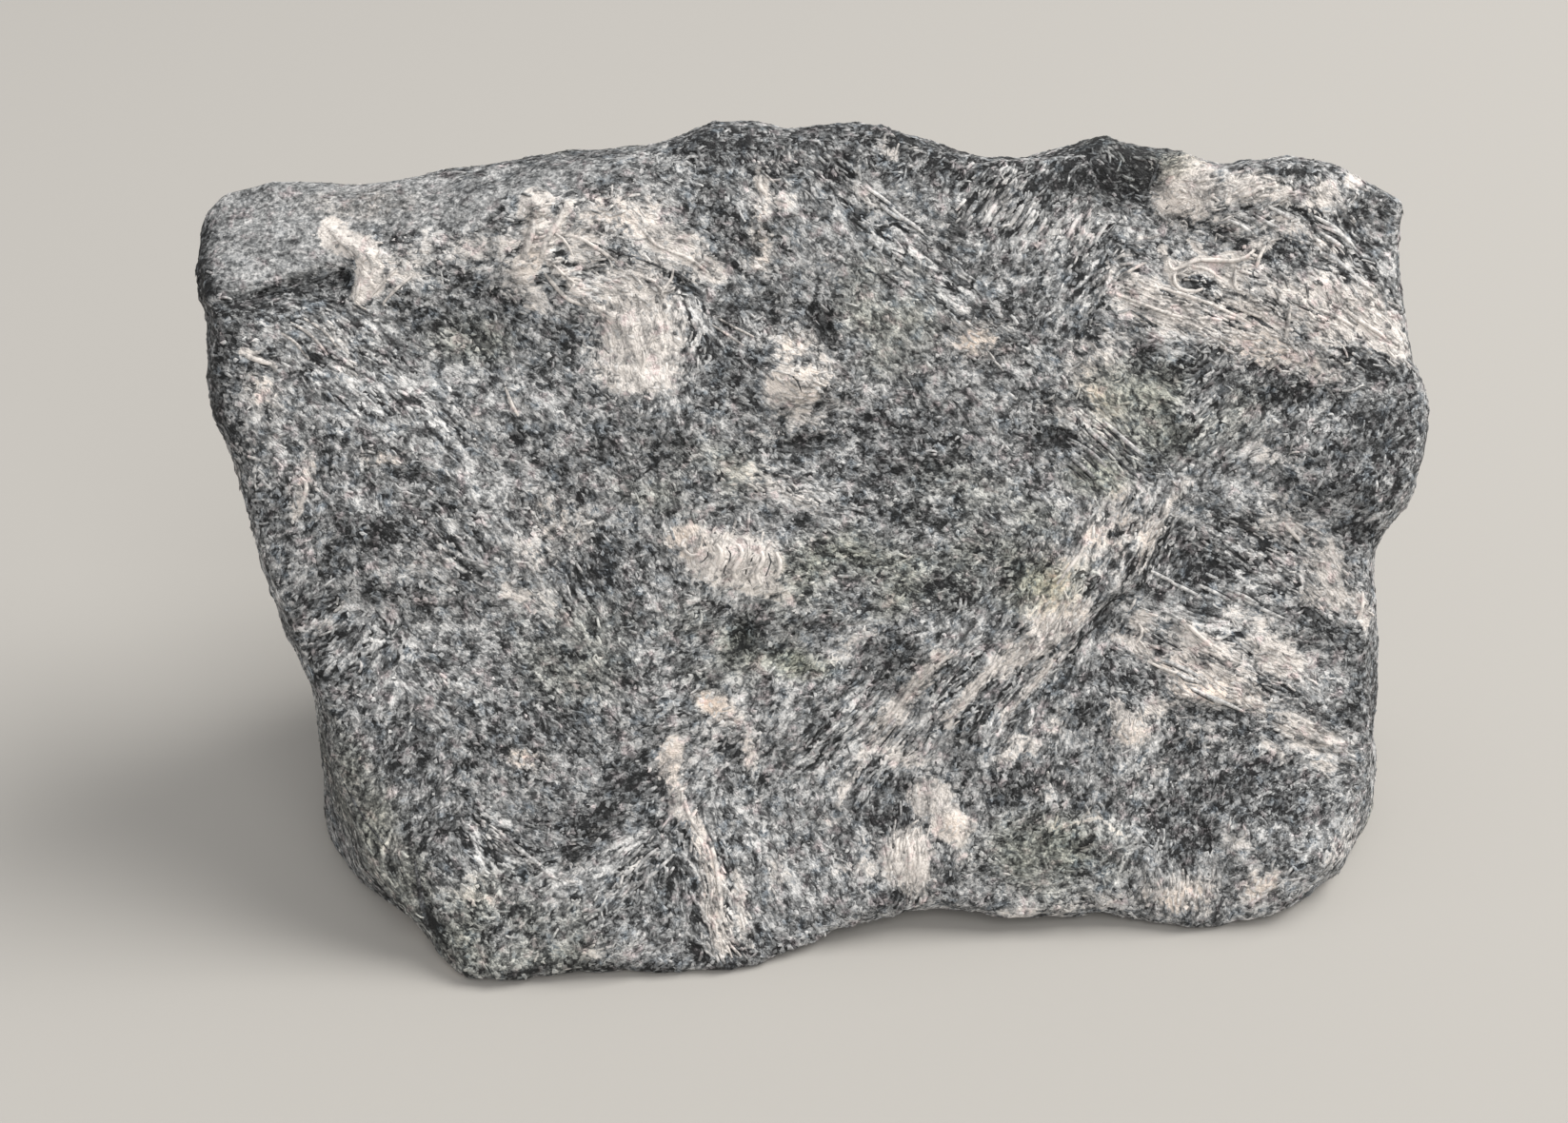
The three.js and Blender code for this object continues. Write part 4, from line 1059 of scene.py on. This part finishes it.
class Tree:
    """A new material, and short ways to add its shader nodes."""

    def __init__(self, name):
        self.material = bpy.data.materials.new(name)
        self.material.use_nodes = True
        self.nodes = self.material.node_tree.nodes
        self.links = self.material.node_tree.links
        self.nodes.clear()
        # The place in millimetres, turned so that X and Y lie in the broad face.
        place = self.add("TexCoord").outputs["Object"]
        turned = {"Vector": place, "Angle": -FACE_UP}
        turned = self.add("VectorRotate", turned, rotation_type="X_AXIS").outputs[0]
        self.place = self.vector("MULTIPLY", turned, (1000, 1000, 1000))

    def add(self, kind, inputs=None, **settings):
        node = self.nodes.new("ShaderNode" + kind)
        for name, value in settings.items():
            setattr(node, name, value)
        for name, value in (inputs or {}).items():
            if isinstance(value, bpy.types.NodeSocket):
                self.links.new(value, node.inputs[name])
            else:
                node.inputs[name].default_value = value
        return node

    def math(self, operation, a, b=0.0, c=0.0, clamp=False):
        inputs = {0: a, 1: b, 2: c}
        return self.add("Math", inputs, operation=operation, use_clamp=clamp).outputs[0]

    def times(self, a, b, clamp=False):
        return self.math("MULTIPLY", a, b, clamp=clamp)

    def plus(self, total, *terms):
        """The total, with each value added by its share."""
        for value, share in terms:
            total = self.math("MULTIPLY_ADD", value, share, total)
        return total

    def vector(self, operation, a, b):
        return self.add("VectorMath", {0: a, 1: b}, operation=operation).outputs[0]

    def stretched(self, vector, length, width):
        """Millimetres counted in grains of a length and width."""
        return self.vector("MULTIPLY", vector, (1 / length, 1 / width, 1 / width))

    def between(self, value, low, high, to_low=0.0, to_high=1.0):
        inputs = {0: value, 1: low, 2: high, 3: to_low, 4: to_high}
        return self.add("MapRange", inputs, interpolation_type="SMOOTHSTEP").outputs[0]

    def noise(self, vector, scale, detail, roughness):
        inputs = {"Vector": vector, "Scale": scale, "Detail": detail, "Roughness": roughness}
        return self.add("TexNoise", inputs).outputs[0]

    def about_nought(self, vector, scale, detail=2.0, roughness=0.7):
        """Noise of about -1 to 1."""
        value = self.noise(vector, scale, detail, roughness)
        return self.times(self.math("SUBTRACT", value, 0.5), 2.6)

    def attribute(self, name):
        return self.add("Attribute", attribute_name=name).outputs["Fac"]

    def tint(self, share, colour, tint):
        inputs = {0: share, 6: colour, 7: tint}
        return self.add("Mix", inputs, data_type="RGBA", blend_type="MULTIPLY").outputs[2]

    def ramp(self, value, stops):
        node = self.add("ValToRGB", {0: value})
        elements = node.color_ramp.elements
        while len(elements) < len(stops):
            elements.new(0.5)
        for element, (position, colour) in zip(elements, stops):
            element.position = position
            element.color = (*colour, 1)
        return node.outputs[0]

    def finish(self, inputs):
        shader = self.add("BsdfPrincipled", inputs)
        self.add("OutputMaterial", {0: shader.outputs[0]})
        return self.material


def clusters(tree):
    """Noise that gathers the light and the dark grains, plain and sharpened."""
    cluster = tree.about_nought(tree.place, 1 / 1.9, 2.0, 0.85)
    return cluster, tree.between(cluster, -0.38, 0.38, -0.5, 0.5)


def tinted(tree, colour, tone, pale, calm):
    """The colour with the cool, mauve and olive tints of the ground, and their noise."""
    hue = tree.about_nought(tree.place, 1 / 1.3)
    broad = tree.about_nought(tree.place, 1 / 6.5, 1.0, 0.8)
    olive = tree.times(tree.attribute("olive"), tree.between(broad, -0.6, 0.4), clamp=True)
    colour = tree.tint(olive, colour, OLIVE)
    cool = tree.between(hue, 0.0, 0.7)
    cool = tree.times(cool, tree.math("SUBTRACT", 1.0, pale), clamp=True)
    cool = tree.times(cool, tree.between(tone, 0.45, 0.75, 1.0, 0.0))
    cool = tree.times(cool, tree.plus(1.0, (calm, -0.8)))
    colour = tree.tint(cool, colour, COOL)
    return tree.tint(tree.between(hue, -0.1, -0.55), colour, MAUVE), hue


def rock_material():
    tree = Tree("migmatite")
    p = tree.place
    pale, dark, calm, own = map(tree.attribute, ("pale", "dark", "calm", "own"))

    # Each small domain has its own direction of grain, along X here.
    turned = {"Vector": p, "Angle": tree.times(tree.attribute("turn"), -1.0)}
    turned = tree.add("VectorRotate", turned, rotation_type="Z_AXIS").outputs[0]
    shift = tree.add("Attribute", attribute_name="shift").outputs["Vector"]
    straight = local = tree.vector("ADD", turned, shift)
    for scale, reach in ((1.1, 0.5), (3.1, 0.34)):
        wobble = tree.add("TexNoise", {"Vector": straight, "Scale": scale, "Detail": 1.0})
        wobble = tree.vector("SUBTRACT", wobble.outputs["Color"], (0.5, 0.5, 0.5))
        wobble = tree.vector("MULTIPLY", wobble, (reach, reach, reach))
        local = tree.vector("ADD", local, wobble)

    # Flakes, streaks, strands and grains, as values about 0. Sizes are millimetres.
    def flakes(length, width):
        cells = {"Vector": tree.stretched(local, length, width), "Scale": 1.0, "Randomness": 1.0}
        cells = tree.add("TexVoronoi", cells).outputs
        one = tree.add("SeparateColor", {0: cells["Color"]}).outputs[1]
        return tree.math("SUBTRACT", one, 0.5), tree.math("SUBTRACT", 0.42, cells["Distance"])

    def streaks(length, width, detail, roughness):
        return tree.about_nought(tree.stretched(local, length, width), 1.0, detail, roughness)

    flake, flake_middle = flakes(0.50, 0.31)
    small, small_middle = flakes(0.29, 0.21)
    streak = streaks(2.0, 0.56, 2.0, 0.8)
    band = streaks(3.4, 1.1, 1.0, 0.8)
    drawn_out = tree.between(tree.plus(tree.attribute("strand"), (own, 0.3)), 0.02, 0.8)
    ribs = tree.between(streaks(3.6, 0.66, 1.0, 0.75), -0.22, 0.22)
    short = tree.between(streaks(0.74, 0.52, 3.0, 0.75), -0.28, 0.28)
    mineral = tree.add("Mix", {0: drawn_out, 2: short, 3: ribs}).outputs[0]
    mineral = tree.math("SUBTRACT", mineral, 0.5)
    strand = streaks(2.6, 0.36, 0.0, 0.5)
    grain = tree.about_nought(p, 1 / 0.33, 1.0)
    cluster, clump = clusters(tree)

    # How much of the ground is pale mineral, with ragged edges.
    edge = tree.plus(pale, (cluster, 0.30), (streak, 0.20), (flake, 0.18), (dark, -0.3))
    share = tree.between(edge, 0.36, 0.82)

    # Tone, 0 to 1 from black to white.
    # Glints: the brightest small flakes made lighter in the tone, a painted highlight of mica.
    glints = tree.between(small, 0.42, 0.48)
    speckle = tree.plus(0.0, (flake, 0.23), (flake_middle, 0.14), (small, 0.06))
    speckle = tree.plus(speckle, (small_middle, 0.07), (grain, 0.12), (glints, 0.08))
    fine = tree.times(speckle, tree.plus(0.9, (drawn_out, -0.38)))
    # Thin dark lines along the streaks: painted shade of the grooves between the strands.
    shade_gaps = tree.between(tree.math("ABSOLUTE", streak), 0.0, 0.12, -0.17, 0.05)
    fine = tree.plus(fine, (mineral, 0.42), (tree.plus(shade_gaps, (strand, 0.50)), drawn_out))
    # The dark mask darkens the tone with painted shade as well as with dark mineral.
    coarse = tree.plus(0.0, (clump, 0.25), (band, 0.27), (own, 0.025), (dark, -0.33))
    coarse = tree.times(coarse, tree.plus(1.0, (calm, -0.62)))
    less = tree.plus(1.0, (share, -0.40), (calm, -0.50), (dark, 0.22))
    palest = tree.between(pale, 0.95, 1.5)
    tone = tree.plus(coarse, (fine, less), (share, 0.33), (palest, 0.12))
    tone = tree.plus(tone, (calm, tree.plus(0.02, (grain, 0.26))))
    tone = tree.plus(0.432, (tone, 1.04))

    # Tints.
    colour, hue = tinted(tree, tree.ramp(tone, TONES), tone, share, calm)
    creamy = tree.times(share, tree.between(hue, -0.9, 0.5, 0.5, 1.15), clamp=True)
    colour = tree.tint(creamy, colour, CREAM)
    warm = tree.times(tree.attribute("warm"), tree.between(cluster, -0.6, 0.4), clamp=True)
    colour = tree.tint(warm, colour, WARM)

    # The grains stand a little out of the ground.
    height = tree.noise(tree.stretched(straight, 0.7, 0.48), 1.0, 2.0, 0.75)
    height = tree.plus(height, (tree.noise(p, 0.62, 1.0, 0.7), 0.9))
    bump = tree.add("Bump", {"Height": height, "Strength": 0.9, "Distance": 0.41 * MM})
    return tree.finish({
        "Base Color": colour,
        "Roughness": tree.between(small, 0.3, 0.45, 0.80, 0.45),
        "Normal": bump.outputs[0],
        "Specular IOR Level": 0.35,
    })


def chip_material(name, scale, detail, mottling, contrast, middle, roughness):
    """For fibres and grains: their own tone, mottled, and lighter or darker with the ground."""
    tree = Tree(name)
    calm, cream = tree.attribute("calm"), tree.attribute("cream")
    mottle = tree.about_nought(tree.place, scale, detail, 0.85)
    tone = tree.plus(middle, (tree.attribute("tone"), contrast), (mottle, mottling))
    tone = tree.plus(tone, (clusters(tree)[1], tree.plus(0.21, (calm, -0.16))))
    colour, _ = tinted(tree, tree.ramp(tone, TONES), tone, cream, calm)
    colour = tree.tint(cream, colour, CREAM)
    return tree.finish({"Base Color": colour, "Roughness": roughness, "Specular IOR Level": 0.4})


# ---- Setting ------------------------------------------------------------------------

FLOOR = {"Base Color": (0.375, 0.360, 0.336, 1), "Roughness": 0.8, "Specular IOR Level": 0.2}
FLOOR_HALF = 1.5
SKY_COLOUR, SKY_STRENGTH = (0.99, 0.99, 1.0, 1), 0.55
# Lights: name, place, size, watts, colour. They point at the origin.
LIGHTS = [
    ("key", (0.90, 0.16, 1.15), 0.95, 26.0, (1.0, 0.985, 0.96)),
    ("front", (0.25, -1.30, 1.15), 1.1, 15.0, (1.0, 0.99, 0.98)),
]


def add_floor():
    mesh = bpy.data.meshes.new("floor")
    signs = [(-1, -1), (1, -1), (1, 1), (-1, 1)]
    mesh.from_pydata([(FLOOR_HALF * x, FLOOR_HALF * y, 0) for x, y in signs], [], [(0, 1, 2, 3)])
    floor = add_object("floor", mesh)
    material = bpy.data.materials.new("floor")
    material.use_nodes = True
    shader = material.node_tree.nodes["Principled BSDF"]
    for name, value in FLOOR.items():
        shader.inputs[name].default_value = value
    mesh.materials.append(material)


def add_light(name, location, size, watts, colour):
    data = bpy.data.lights.new(name, "AREA")
    data.shape = "SQUARE"
    data.size = size
    data.energy = watts
    data.color = colour
    light = add_object(name, data)
    light.location = location
    x, y, z = location
    light.rotation_euler = (math.atan2(math.hypot(x, y), z), 0, math.atan2(-y, -x) - math.pi / 2)


def add_world():
    world = bpy.data.worlds.new("studio")
    world.use_nodes = True
    background = world.node_tree.nodes["Background"]
    background.inputs[0].default_value = SKY_COLOUR
    background.inputs[1].default_value = SKY_STRENGTH
    bpy.context.scene.world = world


add_camera()
add_floor()
add_world()
for light in LIGHTS:
    add_light(*light)
bpy.context.scene.view_settings.view_transform = "Standard"

rock, fibres, wisps, grains = build_rock()
rock.data.materials.append(rock_material())
fibrous = chip_material("fibres", 1.9, 2.0, 0.54, 0.5, 0.32, 0.62)
for piece in (fibres, wisps):
    piece.data.materials.append(fibrous)
grains.data.materials.append(chip_material("grains", 3.4, 1.0, 0.17, 1.0, 0.0, 0.5))
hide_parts(NODE)
for piece in (rock, fibres, wisps, grains):
    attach(piece, "root")
